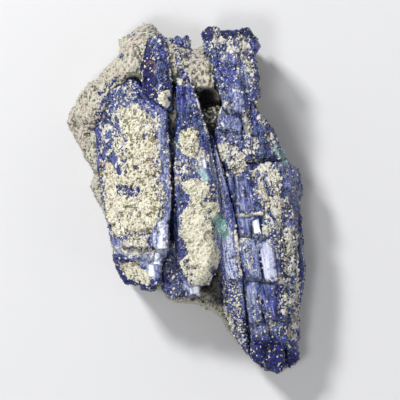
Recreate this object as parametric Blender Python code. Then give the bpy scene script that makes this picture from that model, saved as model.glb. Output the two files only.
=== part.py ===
"""Azurite specimen: blades of azurite grown side by side on a porous host rock, with cream
crusts on their faces and a little malachite.

The specimen lies on the flat cut back of its rock. +X is the specimen's right, +Y its upper
end and +Z its front, which faces up. Every number is in millimetres until mesh_object turns
it into metres, and the origin is the middle of the specimen's outline, on the cut face.
"""

import math

import bmesh
import bpy
from mathutils import Vector, noise
from mathutils.bvhtree import BVHTree
from mathutils.geometry import delaunay_2d_cdt

MM = 0.001
GAP = 0.3  # clearance between neighbouring solids, so that none touch
SINK = 4.0  # how far a crust's raw lump reaches into the crystal that trims it
CUT_FACE = 0.0  # height of the rock's flat cut back
ROOT = 5.0  # height of the crystals' roots inside the rock
ROOT_SHARE = 0.78  # a root's width as a share of its crystal's
WAIST = 10.0  # how far below its front a crystal keeps its full width
BLOCK_DEPTH = 9.0  # how far a growth block reaches into the blade that it stands on
ROCK_STEP = 3.6  # spacing of the rock's corners
CRUST_STEP = 2.3  # spacing of a crust's corners
CHAMFER = 0.7  # width of the chamfer round a blade's front
ROCK_CLEARANCE = 0.9  # upward gap over the rock's steep front, which leaves GAP square to it
ROCK_SHOULDER = 0.80  # the front's height at the rock's edge, as a share of its level
ROCK_RISE = 0.05  # how much that share grows for each millimetre in from the edge
CRUST_RIM = 0.5  # a crust's thickness at its edge, as a share of its full thickness
CRUST_RISE = 0.25  # how much that share grows for each millimetre in from the edge
SKY = 100.0  # height above everything, from which fronts are probed

AZURITE = ("azurite", (0.035, 0.055, 0.27), 0.30)
ROCK = ("host_rock", (0.62, 0.57, 0.46), 0.90)
CRUST = ("cream_crust", (0.72, 0.69, 0.52), 0.92)
MALACHITE = ("malachite", (0.10, 0.36, 0.27), 0.55)


# ---- Outlines ---------------------------------------------------------------------------


def middle(corners):
    """The mean of an outline's corners."""
    return (
        sum(corner[0] for corner in corners) / len(corners),
        sum(corner[1] for corner in corners) / len(corners),
    )


def area(corners):
    """Twice an outline's signed area, positive when it runs anticlockwise."""
    pairs = zip(corners, corners[1:] + corners[:1])
    return sum(ax * by - bx * ay for (ax, ay), (bx, by) in pairs)


def moved_in(corners, distance):
    """An outline with every edge moved inwards by a distance, or outwards by a negative one."""
    turn = 1.0 if area(corners) > 0 else -1.0
    moved = []
    for before, here, after in zip(corners[-1:] + corners[:-1], corners, corners[1:] + corners[:1]):
        into = (Vector(here) - Vector(before)).normalized()
        out = (Vector(after) - Vector(here)).normalized()
        bisector = Vector((-into.y - out.y, into.x + out.x)) * turn
        share = max(bisector.length_squared / 2, 0.3)
        moved.append(tuple(Vector(here) + bisector * (distance / share)))
    return moved


def resampled(corners, step):
    """Points along a closed outline, about a step apart, keeping its corners."""
    points = []
    for here, after in zip(corners, corners[1:] + corners[:1]):
        start, end = Vector(here), Vector(after)
        count = max(1, round((end - start).length / step))
        points += [tuple(start.lerp(end, i / count)) for i in range(count)]
    return points


def lumps(x, y, height, width, seed):
    """Smooth lumps and dips of about that height and width."""
    return height * noise.noise(Vector((x / width, y / width, seed)))


def roughened(points, amount, seed):
    """Outline points pushed about by smooth noise."""
    return [
        (x + lumps(x, y, amount, 3.1, seed), y + lumps(x, y, amount, 3.1, seed + 50.5))
        for x, y in points
    ]


def edge_distance(x, y, corners):
    """Distance to the nearest edge of an outline, negative outside it."""
    point = Vector((x, y))
    nearest = math.inf
    inside = False
    for (ax, ay), (bx, by) in zip(corners, corners[1:] + corners[:1]):
        start, run = Vector((ax, ay)), Vector((bx - ax, by - ay))
        along = max(0.0, min(1.0, (point - start).dot(run) / run.length_squared))
        nearest = min(nearest, (point - start - run * along).length)
        if (ay > y) != (by > y) and x < ax + (y - ay) * (bx - ax) / (by - ay):
            inside = not inside
    return nearest if inside else -nearest


# ---- Solids -----------------------------------------------------------------------------


def linked(name, mesh):
    """A new object that shows a mesh."""
    piece = bpy.data.objects.new(name, mesh)
    bpy.context.scene.collection.objects.link(piece)
    return piece


def mesh_object(name, points, faces):
    """An object from points in millimetres and faces, cut into triangles that face out."""
    mesh = bpy.data.meshes.new(name)
    mesh.from_pydata([Vector(point) * MM for point in points], [], faces)
    form = bmesh.new()
    form.from_mesh(mesh)
    bmesh.ops.triangulate(form, faces=form.faces)
    bmesh.ops.recalc_face_normals(form, faces=form.faces)
    form.to_mesh(mesh)
    form.free()
    return linked(name, mesh)


def hull_object(name, points):
    """The convex solid around some points in millimetres."""
    form = bmesh.new()
    for point in points:
        form.verts.new(Vector(point) * MM)
    hull = bmesh.ops.convex_hull(form, input=form.verts)
    spare = list(set(hull["geom_interior"]) | set(hull["geom_unused"]))
    bmesh.ops.delete(form, geom=spare, context="VERTS")
    bmesh.ops.recalc_face_normals(form, faces=form.faces)
    mesh = bpy.data.meshes.new(name)
    form.to_mesh(mesh)
    form.free()
    return linked(name, mesh)


def swollen(points, margin):
    """Points whose hull is the first points' hull grown by a margin on every side."""
    signs = (-margin, margin)
    return [
        (x + dx, y + dy, z + dz)
        for x, y, z in points
        for dx in signs
        for dy in signs
        for dz in signs
    ]


def removed(piece):
    mesh = piece.data
    bpy.data.objects.remove(piece)
    bpy.data.meshes.remove(mesh)


def combined(piece, others, operation):
    """Changes a piece by one exact Boolean with the other objects, which it uses up."""
    if not others:
        return
    group = bpy.data.collections.new("operands")
    bpy.context.scene.collection.children.link(group)
    for other in others:
        group.objects.link(other)
    boolean = piece.modifiers.new("combine", "BOOLEAN")
    boolean.operation = operation
    boolean.solver = "EXACT"
    boolean.operand_type = "COLLECTION"
    boolean.collection = group
    bpy.context.view_layer.update()
    evaluated = piece.evaluated_get(bpy.context.evaluated_depsgraph_get())
    result = bpy.data.meshes.new_from_object(evaluated)
    piece.modifiers.remove(boolean)
    old = piece.data
    piece.data = result
    bpy.data.meshes.remove(old)
    for other in others:
        removed(other)
    bpy.data.collections.remove(group)


def largest_lump(piece):
    """Drops the crumbs that a cut has left loose, and keeps the biggest lump."""
    form = bmesh.new()
    form.from_mesh(piece.data)
    left = set(form.faces)
    lumps = []
    while left:
        lump = {left.pop()}
        front = list(lump)
        while front:
            face = front.pop()
            for edge in face.edges:
                for neighbour in edge.link_faces:
                    if neighbour in left:
                        left.discard(neighbour)
                        lump.add(neighbour)
                        front.append(neighbour)
        lumps.append(lump)
    lumps.sort(key=lambda lump: sum(face.calc_area() for face in lump))
    for lump in lumps[:-1]:
        bmesh.ops.delete(form, geom=list(lump), context="FACES")
    form.to_mesh(piece.data)
    form.free()


def painted(piece, look):
    """Gives a piece its own Principled material."""
    name, colour, roughness = look
    material = bpy.data.materials.new(f"{piece.name}_{name}")
    material.use_nodes = True
    shader = material.node_tree.nodes["Principled BSDF"]
    shader.inputs["Base Color"].default_value = (*colour, 1.0)
    shader.inputs["Roughness"].default_value = roughness
    shader.inputs["Metallic"].default_value = 0.0
    material.diffuse_color = (*colour, 1.0)
    piece.data.materials.clear()
    piece.data.materials.append(material)


# ---- Crystals ---------------------------------------------------------------------------


def sides(corners, root):
    """The two rings below a front: the crystal's waist, and its narrower root in the rock."""
    mid_x, mid_y = middle([(x, y) for x, y, _ in corners])
    points = [(x, y, max(z - WAIST, root + 1.0)) for x, y, z in corners]
    points += [
        (mid_x + ROOT_SHARE * (x - mid_x), mid_y + ROOT_SHARE * (y - mid_y), root)
        for x, y, _ in corners
    ]
    return points


def blade(corners, front, lean=(0.0, 0.0), root=None, chamfer=CHAMFER):
    """A flat-fronted blade: its outline, its front's height at the outline's middle, and the
    front's slope along X and Y. With no root of its own it stands on a bigger blade."""
    mid_x, mid_y = middle(corners)
    root = front - BLOCK_DEPTH if root is None else root

    def height(x, y):
        return front + lean[0] * (x - mid_x) + lean[1] * (y - mid_y)

    shoulder = [(x, y, height(x, y) - chamfer) for x, y in corners]
    face = [(x, y, height(x, y)) for x, y in moved_in(corners, chamfer)]
    return face + shoulder + sides(shoulder, root)


def faceted(corners, root=ROOT):
    """A blade whose corners each have a height of their own."""
    return corners + sides(corners, root)


def crystal(name, blades, earlier):
    """Blades fused into one solid, cut clear of the crystals made before it."""
    piece = hull_object(name, blades[0])
    combined(piece, [hull_object("blade", points) for points in blades[1:]], "UNION")
    trimmed(piece, earlier)
    painted(piece, AZURITE)
    return piece


def trimmed(piece, blades):
    """Cuts a piece clear of every blade in a list, by the gap."""
    cutters = [hull_object("cutter", swollen(points, GAP)) for points in blades]
    combined(piece, cutters, "DIFFERENCE")
    largest_lump(piece)


def left_blades():
    """The broad crystal on the left: a flat front, a flank falling to its left, and two
    ledges at its foot."""
    body = faceted([
        (-23.0, 37.0, 39.0), (-19.0, 43.5, 34.0), (-24.5, 43.5, 31.0), (-29.5, 40.0, 27.0),
        (-7.0, 31.0, 41.0), (-6.0, 4.0, 42.0), (-7.3, -16.5, 41.0), (-22.0, -16.5, 39.5),
        (-24.0, 10.0, 40.5), (-26.5, -16.5, 30.0), (-31.0, 7.5, 27.0), (-32.5, 27.0, 25.0),
    ])
    side_ribs = [
        blade([(-29.0, 6.0), (-27.0, 8.0), (-25.0, -12.0), (-27.4, -14.0)], 22.5, (0.4, 0.0), 9.0),
        blade([(-25.6, -8.0), (-7.0, -6.0), (-7.4, -25.0), (-24.2, -25.0)], 24.0, (0.0, 0.0), 8.0, 1.5),
    ]
    edge_strip = blade([(-11.5, 27.0), (-7.0, 29.0), (-5.3, 4.0), (-6.8, -17.0), (-10.5, -17.0)],
                       42.6, (0.06, 0.0))
    flank_rib = blade([(-30.5, 30.0), (-27.0, 34.0), (-26.0, 4.0), (-27.5, -10.0), (-30.0, 2.0)],
                      33.5, (0.9, 0.0))
    ledge = blade([(-26.3, -12.0), (-7.0, -12.0), (-7.6, -21.5), (-25.3, -21.8)], 37.0, (0.12, 0.03),
                  ROOT)
    foot_left = blade([(-25.5, -20.0), (-16.8, -20.0), (-16.2, -30.5), (-21.8, -29.5), (-24.6, -24.5)],
                      31.5, (0.15, 0.12), ROOT)
    foot_right = blade([(-17.6, -19.0), (-8.6, -18.0), (-9.4, -28.0), (-11.5, -32.3), (-16.4, -32.3)],
                       34.2, (0.05, 0.22), ROOT)
    return [body, edge_strip, flank_rib, ledge, foot_left, foot_right] + side_ribs


def wedge_blades():
    """The wedge above the left crystal, with a ridge down its middle and a broken foot."""
    ridge = faceted([
        (-13.5, 58.0, 37.0), (-9.0, 59.0, 38.0), (-10.3, 50.5, 43.5), (-9.4, 39.2, 45.5),
        (-7.5, 54.0, 40.0), (-5.6, 46.0, 41.5), (-5.0, 38.0, 41.5), (-4.9, 31.8, 41.0),
        (-7.5, 32.7, 43.0), (-12.6, 36.2, 41.0), (-15.9, 40.0, 38.0), (-16.0, 47.0, 37.5),
    ], root=12.0)
    lip = blade([(-16.3, 49.0), (-13.3, 50.0), (-13.0, 44.0), (-15.6, 43.0)], 40.5, (0.3, 0.0))
    return [ridge, lip]


def centre_blades():
    """The long crystal in the middle: a flat front, a flank falling to its right, and a
    lower block at its foot."""
    body = faceted([
        (-2.5, 46.5, 35.0), (1.2, 46.0, 36.0), (0.0, 40.0, 39.5), (4.8, 29.0, 39.5),
        (7.6, 22.0, 38.5), (8.5, 4.0, 41.0), (7.5, -20.0, 40.0), (5.5, -30.0, 37.5),
        (0.8, -31.0, 37.5), (-2.5, -22.0, 39.0), (-3.8, 0.0, 41.0), (-3.8, 18.0, 41.0),
        (-3.0, 36.0, 39.0), (12.3, 0.0, 36.0), (12.3, -20.0, 34.0), (8.0, -30.0, 33.0),
    ])
    ridge = blade([(-0.2, 44.0), (1.4, 44.6), (8.0, 22.5), (6.6, 21.5)], 39.8, (0.0, -0.03))
    strip = blade([(-2.6, 43.0), (-0.9, 44.5), (-0.7, 26.0), (-2.9, 24.0)], 40.8, (0.0, -0.06))
    foot = blade([(-7.2, -15.0), (0.5, -14.0), (2.0, -30.0), (1.4, -34.6), (-5.0, -35.4),
                  (-8.8, -32.0), (-8.2, -23.5)], 31.5, (0.25, 0.05), 7.0)
    plate = blade([(0.8, -29.0), (5.0, -29.0), (4.9, -34.5), (1.0, -34.6)], 34.2, (0.10, 0.12))
    return [body, ridge, strip, foot, plate]


def narrow_blades():
    """The slender striated blade on the centre crystal's right, in an upper and a lower
    length with a step between them."""
    upper = faceted([
        (7.9, 24.0, 33.5), (9.6, 22.5, 36.0), (13.0, 11.0, 36.5), (17.2, -5.0, 36.5),
        (18.6, -18.0, 35.5), (20.0, -28.0, 34.0), (13.6, -28.4, 31.5), (12.5, -17.0, 33.0),
        (11.8, 0.0, 34.0),
    ], root=8.0)
    lower = faceted([
        (13.4, -27.0, 29.0), (19.8, -27.0, 32.2), (21.0, -40.0, 28.5), (22.8, -56.0, 19.0),
        (20.5, -54.0, 17.0), (16.5, -47.0, 20.5), (13.2, -38.0, 24.0),
    ], root=6.0)
    return [upper, lower]


def right_blades():
    """The right-hand bundle: a tapering body that carries rows of growth blocks, and blades
    stepping down its right flank."""
    body = faceted([
        (13.6, 10.0, 32.0), (22.0, 13.0, 33.0), (34.0, 13.5, 30.0), (39.0, 8.0, 24.0),
        (41.0, -22.0, 20.0), (41.0, -34.0, 18.0), (39.5, -50.0, 15.0), (36.0, -60.0, 12.0),
        (27.5, -61.0, 13.0), (23.6, -56.5, 17.0), (22.0, -38.0, 27.0), (19.0, -10.0, 33.5),
        (33.0, -14.0, 34.0), (33.5, -31.0, 31.5), (33.0, -50.0, 26.0),
    ], root=6.0)
    rows = [
        blade([(13.6, 10.0), (16.8, 9.0), (17.8, -0.5), (16.2, 0.5)], 34.6, (0.1, 0.05)),
        blade([(18.0, 9.2), (22.4, 10.0), (23.4, -4.8), (19.2, -3.8)], 36.2, (0.08, 0.04)),
        blade([(23.2, 4.5), (27.2, 4.5), (28.0, -5.4), (24.0, -5.2)], 36.0, (-0.05, 0.02)),
        blade([(18.4, -6.2), (23.0, -6.3), (23.1, -12.6), (18.9, -12.2)], 35.6, (0.12, 0.05)),
        blade([(23.7, -6.7), (25.9, -6.6), (26.7, -11.8), (24.5, -12.0)], 36.6, (0.10, 0.18)),
        blade([(27.0, -6.8), (32.0, -7.4), (32.4, -13.0), (27.4, -12.7)], 35.8, (-0.08, 0.03)),
        blade([(19.4, -13.8), (25.2, -13.8), (27.2, -28.4), (21.9, -26.6), (19.9, -22.0)],
              35.8, (0.06, 0.08)),
        blade([(25.7, -14.0), (31.0, -14.0), (32.5, -28.8), (28.2, -28.8)], 36.8, (0.10, 0.10)),
        blade([(31.4, -13.8), (32.6, -13.8), (34.8, -32.2), (33.2, -32.2)], 34.0, (-0.2, 0.10), chamfer=0.4),
        blade([(21.9, -29.5), (26.4, -29.2), (27.3, -43.4), (23.2, -43.6)], 32.4, (0.08, 0.10)),
        blade([(27.0, -29.7), (32.1, -29.9), (32.5, -42.6), (28.0, -42.6)], 32.8, (-0.02, 0.10)),
        blade([(33.4, -33.0), (35.6, -33.0), (36.2, -42.2), (34.0, -42.2)], 30.0, (-0.2, 0.12)),
        blade([(23.5, -44.4), (29.4, -44.2), (29.9, -51.0), (23.9, -51.0)], 28.4, (0.06, 0.14)),
        blade([(30.5, -43.6), (35.0, -43.6), (36.0, -50.6), (31.0, -50.6)], 28.2, (-0.10, 0.14)),
        blade([(23.5, -51.6), (27.0, -51.6), (27.7, -58.2), (24.2, -57.6)], 25.0, (0.05, 0.25)),
        blade([(28.0, -51.8), (34.5, -51.6), (36.3, -60.6), (33.0, -63.2), (28.6, -61.0)],
              22.5, (-0.05, 0.35), 6.0),
        blade([(35.6, -51.0), (39.8, -49.5), (41.0, -58.0), (37.2, -61.0)], 18.5, (-0.3, 0.15), 6.0),
    ]
    flank = [
        blade([(33.0, -6.0), (38.4, -4.0), (39.5, -22.0), (38.4, -41.0), (35.6, -40.0), (34.6, -22.0)],
              29.0, (-0.5, 0.05), 12.0),
        blade([(37.0, -9.0), (40.6, -11.0), (42.6, -24.0), (42.2, -30.0), (40.2, -42.0), (38.0, -40.0)],
              23.5, (-0.4, 0.06), 9.0),
        blade([(37.5, -36.0), (40.5, -38.0), (41.0, -50.0), (38.5, -56.0), (36.6, -52.0)],
              19.5, (-0.4, 0.10), 7.0),
        blade([(39.0, -2.0), (41.6, -6.0), (41.8, -16.0), (39.6, -14.0)], 17.0, (-0.3, 0.0), 8.0),
    ]
    druse = faceted([
        (32.0, 13.0, 28.0), (35.8, 14.6, 25.0), (40.0, 10.5, 22.0), (41.6, 4.0, 20.0),
        (40.6, 0.0, 20.0), (33.5, 0.0, 29.0), (33.0, 9.0, 31.0), (37.5, 5.0, 29.5),
    ], root=9.0)
    side_bud = faceted([
        (36.0, 1.0, 25.0), (40.0, 0.5, 21.0), (40.6, -3.0, 20.0), (39.8, -7.5, 20.0), (36.5, -7.0, 25.5),
    ], root=10.0)
    return [body] + rows + flank + [druse, side_bud]


def upper_right_blades():
    """The stubby crystals of the upper right, from the top edge down to the bundle."""
    upper_body = faceted([
        (9.6, 57.0, 29.0), (12.0, 60.0, 31.0), (19.0, 60.0, 31.0), (23.6, 58.0, 29.0),
        (25.0, 45.0, 30.0), (25.2, 32.5, 30.0), (12.4, 30.0, 31.0), (11.2, 40.0, 31.0),
    ], root=9.0)
    lower_body = faceted([
        (12.0, 33.0, 30.5), (25.0, 33.5, 30.0), (31.5, 22.6, 27.0), (33.6, 15.5, 25.0),
        (32.4, 12.0, 26.0), (14.0, 12.0, 30.0), (11.6, 22.0, 30.0),
    ], root=7.0)
    side_ribs = [
        blade([(24.0, 50.0), (26.3, 46.0), (26.4, 38.0), (24.4, 36.0)], 25.5, (-0.5, 0.0), 13.0),
        blade([(25.0, 31.0), (28.6, 28.0), (32.6, 19.5), (30.0, 18.0)], 22.5, (-0.4, 0.1), 11.0),
    ]
    top_edge = [
        blade([(6.2, 60.5), (8.0, 62.6), (11.8, 61.8), (13.2, 50.0), (10.2, 43.0), (7.0, 50.0)],
              33.5, (0.15, 0.05), 14.0, 1.2),
        blade([(11.0, 60.8), (19.4, 60.8), (21.0, 46.0), (11.5, 46.0)], 36.0, (0.05, -0.02), 12.0, 1.2),
        blade([(18.6, 60.6), (22.0, 62.6), (25.2, 58.6), (26.5, 55.6), (24.0, 51.5), (19.0, 50.5)],
              34.5, (-0.15, -0.05), 14.0, 1.2),
    ]
    middle_blocks = [
        blade([(18.8, 52.5), (24.4, 51.5), (26.1, 44.0), (25.6, 34.5), (20.2, 33.0)],
              35.8, (-0.25, 0.02), 14.0, 1.0),
        blade([(11.0, 47.0), (20.0, 47.0), (20.6, 36.0), (16.0, 31.0), (11.8, 36.0), (9.6, 42.5)],
              37.4, (0.06, 0.06), 16.0, 1.0),
        blade([(13.0, 37.5), (15.4, 37.0), (15.6, 31.2), (13.6, 32.0)], 38.3, (0.1, 0.1), chamfer=0.5),
        blade([(16.7, 41.5), (20.4, 41.0), (20.6, 31.5), (17.2, 31.8)], 38.6, (0.15, 0.02)),
        blade([(15.2, 53.5), (18.6, 54.0), (18.8, 49.2), (15.6, 48.8)], 37.8, (0.1, -0.1)),
    ]
    lower_blocks = [
        blade([(12.6, 30.0), (19.8, 31.0), (19.6, 24.6), (11.4, 25.4)], 36.4, (0.0, -0.2)),
        blade([(10.6, 26.0), (19.9, 25.4), (20.6, 11.5), (14.4, 11.3), (11.4, 18.0)], 34.4, (0.08, 0.02)),
        blade([(20.2, 34.0), (22.8, 34.0), (23.4, 14.0), (20.6, 14.0)], 35.8, (0.1, 0.04)),
        blade([(23.4, 34.0), (26.0, 31.5), (28.6, 28.5), (28.0, 15.5), (24.0, 15.5)],
              34.4, (-0.2, 0.02), 12.0),
        blade([(28.0, 28.8), (31.6, 23.4), (34.0, 15.4), (28.6, 15.4)], 31.5, (-0.4, 0.05), 10.0),
    ]
    return [upper_body, lower_body] + side_ribs + top_edge + middle_blocks + lower_blocks


def top_bud_blades():
    """The small cluster that sticks out of the top edge between the wedge and the right."""
    return [
        faceted([(-5.0, 57.0, 31.0), (-3.2, 59.2, 29.0), (-1.4, 57.6, 32.0), (-2.0, 55.0, 33.0),
                 (-4.6, 55.4, 33.0)], root=16.0),
        faceted([(-2.2, 58.0, 28.0), (0.2, 59.8, 26.0), (1.6, 57.2, 28.0), (0.4, 54.6, 31.0),
                 (-1.8, 55.4, 32.0)], root=14.0),
    ]


# ---- Rock and crusts --------------------------------------------------------------------


def levels(spots, reach=3.4):
    """A smooth height between spots of known height, by inverse distance."""

    def height(x, y):
        weights = [1.0 / (0.5 + math.hypot(x - sx, y - sy)) ** reach for sx, sy, _ in spots]
        total = sum(weight * spot[2] for weight, spot in zip(weights, spots))
        return total / sum(weights)

    return height


def mound(name, outline, top, walls, step, seed):
    """A lumpy closed solid: top(x, y) is the height of its front. walls are the rings below
    it, each with how far it stands outside the outline, how rough it is, and its height as
    a share of the front's and a height added to that."""
    ring = roughened(resampled(outline, step), 0.15 * step, seed)
    inner = hexagonal_points(ring, step, seed)
    border = [(i, (i + 1) % len(ring)) for i in range(len(ring))]
    flat = [Vector(point) for point in ring + inner]
    plan, _, front, sources, *_ = delaunay_2d_cdt(flat, border, [], 1, 1e-5)
    place = {source: i for i, group in enumerate(sources) for source in group}
    points = [(x, y, top(x, y)) for x, y in plan]
    faces = [tuple(face) for face in front]
    above = [place[i] for i in range(len(ring))]
    for outside, rough, share, added in walls:
        start = len(points)
        wall = roughened(moved_in(ring, -outside), rough, seed + 3.0 * share)
        points += [(x, y, added + share * top(*at)) for (x, y), at in zip(wall, ring)]
        below = list(range(start, start + len(ring)))
        faces += [(above[i], above[j], below[j], below[i]) for i, j in border]
        above = below
    faces.append(tuple(above))
    return mesh_object(name, points, faces)


def hexagonal_points(ring, step, seed):
    """Roughened points a step apart that fill a ring."""
    xs, ys = [x for x, _ in ring], [y for _, y in ring]
    row_height = step * math.sqrt(3) / 2
    points = []
    for row in range(int((max(ys) - min(ys)) / row_height) + 1):
        for column in range(int((max(xs) - min(xs)) / step) + 2):
            x = min(xs) + (column - 0.5 * (row % 2)) * step
            points.append((x, min(ys) + row * row_height))
    points = roughened(points, 0.35 * step, seed + 7.0)
    return [(x, y) for x, y in points if edge_distance(x, y, ring) > 0.55 * step]


ROCK_OUTLINE = [
    (-10.5, 59.5), (-12.5, 62.6), (-14.5, 63.4), (-16.5, 62.0), (-19.5, 60.0), (-23.0, 58.2),
    (-23.6, 52.5), (-26.5, 49.5), (-29.5, 46.8), (-31.5, 44.0), (-35.0, 42.0), (-38.5, 38.0),
    (-40.5, 32.5), (-42.5, 28.5), (-39.5, 23.0), (-37.8, 19.0), (-35.2, 13.5), (-32.8, 9.5),
    (-34.2, 5.0), (-31.8, 1.0), (-29.4, -3.5), (-28.2, -8.0), (-26.4, -15.0), (-24.4, -23.5),
    (-21.0, -28.5), (-13.0, -30.5), (-8.0, -32.5), (-4.0, -36.5), (4.5, -36.8), (9.0, -38.8),
    (12.8, -41.5), (16.4, -47.5), (21.0, -53.0), (26.0, -57.5), (31.0, -60.0), (36.0, -59.0),
    (38.5, -51.0), (38.5, -42.0), (39.5, -30.0), (39.0, -18.0), (37.5, -6.0), (38.5, 3.0),
    (36.0, 11.0), (31.5, 17.0), (29.0, 24.0), (24.0, 31.0), (23.6, 40.0), (23.6, 50.0),
    (21.5, 57.0), (15.0, 58.8), (9.0, 58.0), (4.6, 54.4), (1.6, 53.2), (-1.0, 55.6), (-5.0, 57.6),
]

ROCK_LEVELS = [
    # the upper left mass, from its edge to the left crystal
    (-41.0, 29.0, 15.0), (-37.0, 31.0, 26.0), (-33.5, 33.0, 31.0), (-36.0, 20.0, 22.0),
    (-33.0, 12.0, 22.0), (-31.0, 2.0, 17.0), (-31.0, 43.5, 30.0), (-26.0, 47.0, 35.0),
    (-20.0, 51.0, 39.0), (-18.0, 57.0, 36.0), (-13.5, 62.0, 30.0), (-14.0, 54.0, 37.5),
    # the hollow between the left crystal, the rock and the wedge, and the rim above it
    (-18.8, 43.0, 26.0), (-16.6, 41.4, 26.0), (-22.6, 46.4, 38.0), (-19.4, 47.0, 39.0),
    (-16.4, 47.4, 38.5),
    # the ridge between the wedge and the centre crystal, and the sheet beside it
    (-4.6, 52.0, 39.0), (-2.0, 50.0, 38.0), (-3.4, 45.5, 38.0), (1.2, 51.6, 39.5),
    (3.0, 48.0, 38.5), (5.4, 45.0, 38.5), (8.2, 42.2, 39.0), (4.2, 41.2, 38.0),
    # the hole beneath that ridge, and the cleft between the left and centre crystals, which
    # a bridge of rock crosses
    (-3.6, 40.0, 24.0), (-3.8, 35.6, 35.5), (-4.2, 30.0, 36.5), (-4.6, 25.2, 25.0),
    (-4.8, 21.8, 37.0), (-4.8, 19.4, 37.0), (-4.8, 14.0, 23.0), (-4.8, 6.0, 22.0),
    (-5.0, -6.0, 22.0), (-5.5, -14.0, 20.0),
    # the dark cavity right of the sheet, the ledge below it and the trough below that
    (5.2, 37.6, 11.0), (8.0, 38.4, 11.0), (10.4, 37.4, 12.0), (7.4, 35.8, 12.0), (10.6, 35.4, 14.0),
    (7.2, 31.6, 28.0), (10.8, 31.8, 30.0), (9.2, 30.0, 28.0), (9.4, 26.5, 24.0), (9.6, 22.0, 24.0),
    # the cavity at the lower middle, its grey lump and the ledge below it
    (6.2, -30.0, 9.0), (7.4, -33.0, 11.0), (11.0, -30.8, 21.0), (12.6, -33.6, 16.0), (0.0, -35.6, 22.0),
    (6.0, -36.4, 25.0), (11.0, -38.4, 24.0),
    # the rock behind the lower, right and upper crystals
    (-15.0, -20.0, 18.0), (-20.0, -27.0, 17.0), (18.0, -46.0, 16.0), (27.0, -56.0, 14.0),
    (37.0, -55.0, 11.0), (39.0, -30.0, 15.0), (38.0, -6.0, 19.0), (37.0, 8.0, 20.0),
    (30.0, 22.0, 22.0), (24.0, 35.0, 24.0), (23.0, 50.0, 24.0), (15.0, 57.0, 26.0),
    (8.0, 57.0, 25.0), (15.0, 20.0, 24.0), (25.0, 0.0, 22.0), (0.0, 10.0, 24.0),
]

ROCK_WALLS = [
    # how far outside the outline, roughness, share of the front's height, height added
    (0.5, 1.1, 0.72, 0.0), (0.7, 1.3, 0.40, 0.0), (0.0, 0.9, 0.14, 0.0), (-0.8, 0.0, 0.0, CUT_FACE),
]


def rock_form(name, raised=0.0):
    """The rock before the crystals are cut out of it, with its front raised by a margin."""
    level = levels(ROCK_LEVELS)

    def top(x, y):
        inside = max(edge_distance(x, y, ROCK_OUTLINE), 0.0)
        share = min(1.0, ROCK_SHOULDER + ROCK_RISE * inside)
        return level(x, y) * share + lumps(x, y, 1.6, 5.5, 2.0) + lumps(x, y, 0.8, 2.6, 5.0) + raised

    return mound(name, ROCK_OUTLINE, top, ROCK_WALLS, ROCK_STEP, 11.0)


def host_rock(blades):
    """The porous rock behind the crystals, flat where it was cut from the vein."""
    piece = rock_form("host_rock")
    trimmed(piece, blades)
    painted(piece, ROCK)
    return piece


def surface_below(pieces):
    """The height of the front of some pieces, taken high in a small spot so as to bridge cracks."""
    trees = []
    for piece in pieces:
        form = bmesh.new()
        form.from_mesh(piece.data)
        trees.append(BVHTree.FromBMesh(form))
        form.free()
    down = Vector((0.0, 0.0, -1.0))
    spot = ((0.0, 0.0), (0.9, 0.0), (-0.9, 0.0), (0.0, 0.9), (0.0, -0.9))

    def height(x, y):
        found = []
        for dx, dy in spot:
            origin = Vector((x + dx, y + dy, SKY)) * MM
            hits = [tree.ray_cast(origin, down)[0] for tree in trees]
            hits = [hit.z / MM for hit in hits if hit]
            found.append(max(hits) if hits else 0.0)
        found.sort()
        return (found[-1] + found[-2]) / 2

    return height


class Bed:
    """What the crusts grow on: the height of the front, and the blades and rock to clear."""

    def __init__(self, rock, crystals, blades):
        self.blades = blades
        self.height = surface_below([rock] + crystals)

    def trim(self, piece):
        """Cuts a piece clear of the rock and the crystals."""
        combined(piece, [rock_form("cutter", ROCK_CLEARANCE)], "DIFFERENCE")
        trimmed(piece, self.blades)


def crust(name, outline, thickness, bed, seed, look=CRUST):
    """A crust draped over the crystals' fronts: thin at its edge and lumpy inside."""

    def top(x, y):
        inside = max(edge_distance(x, y, outline), 0.0)
        cover = thickness * min(1.0, CRUST_RIM + CRUST_RISE * inside)
        return bed.height(x, y) + cover + lumps(x, y, 0.35 * thickness, 3.4, seed)

    lowest = min(bed.height(x, y) for x, y in outline) - SINK
    piece = mound(name, outline, top, [(0.0, 0.0, 0.0, lowest)], CRUST_STEP, seed)
    bed.trim(piece)
    painted(piece, look)


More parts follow.
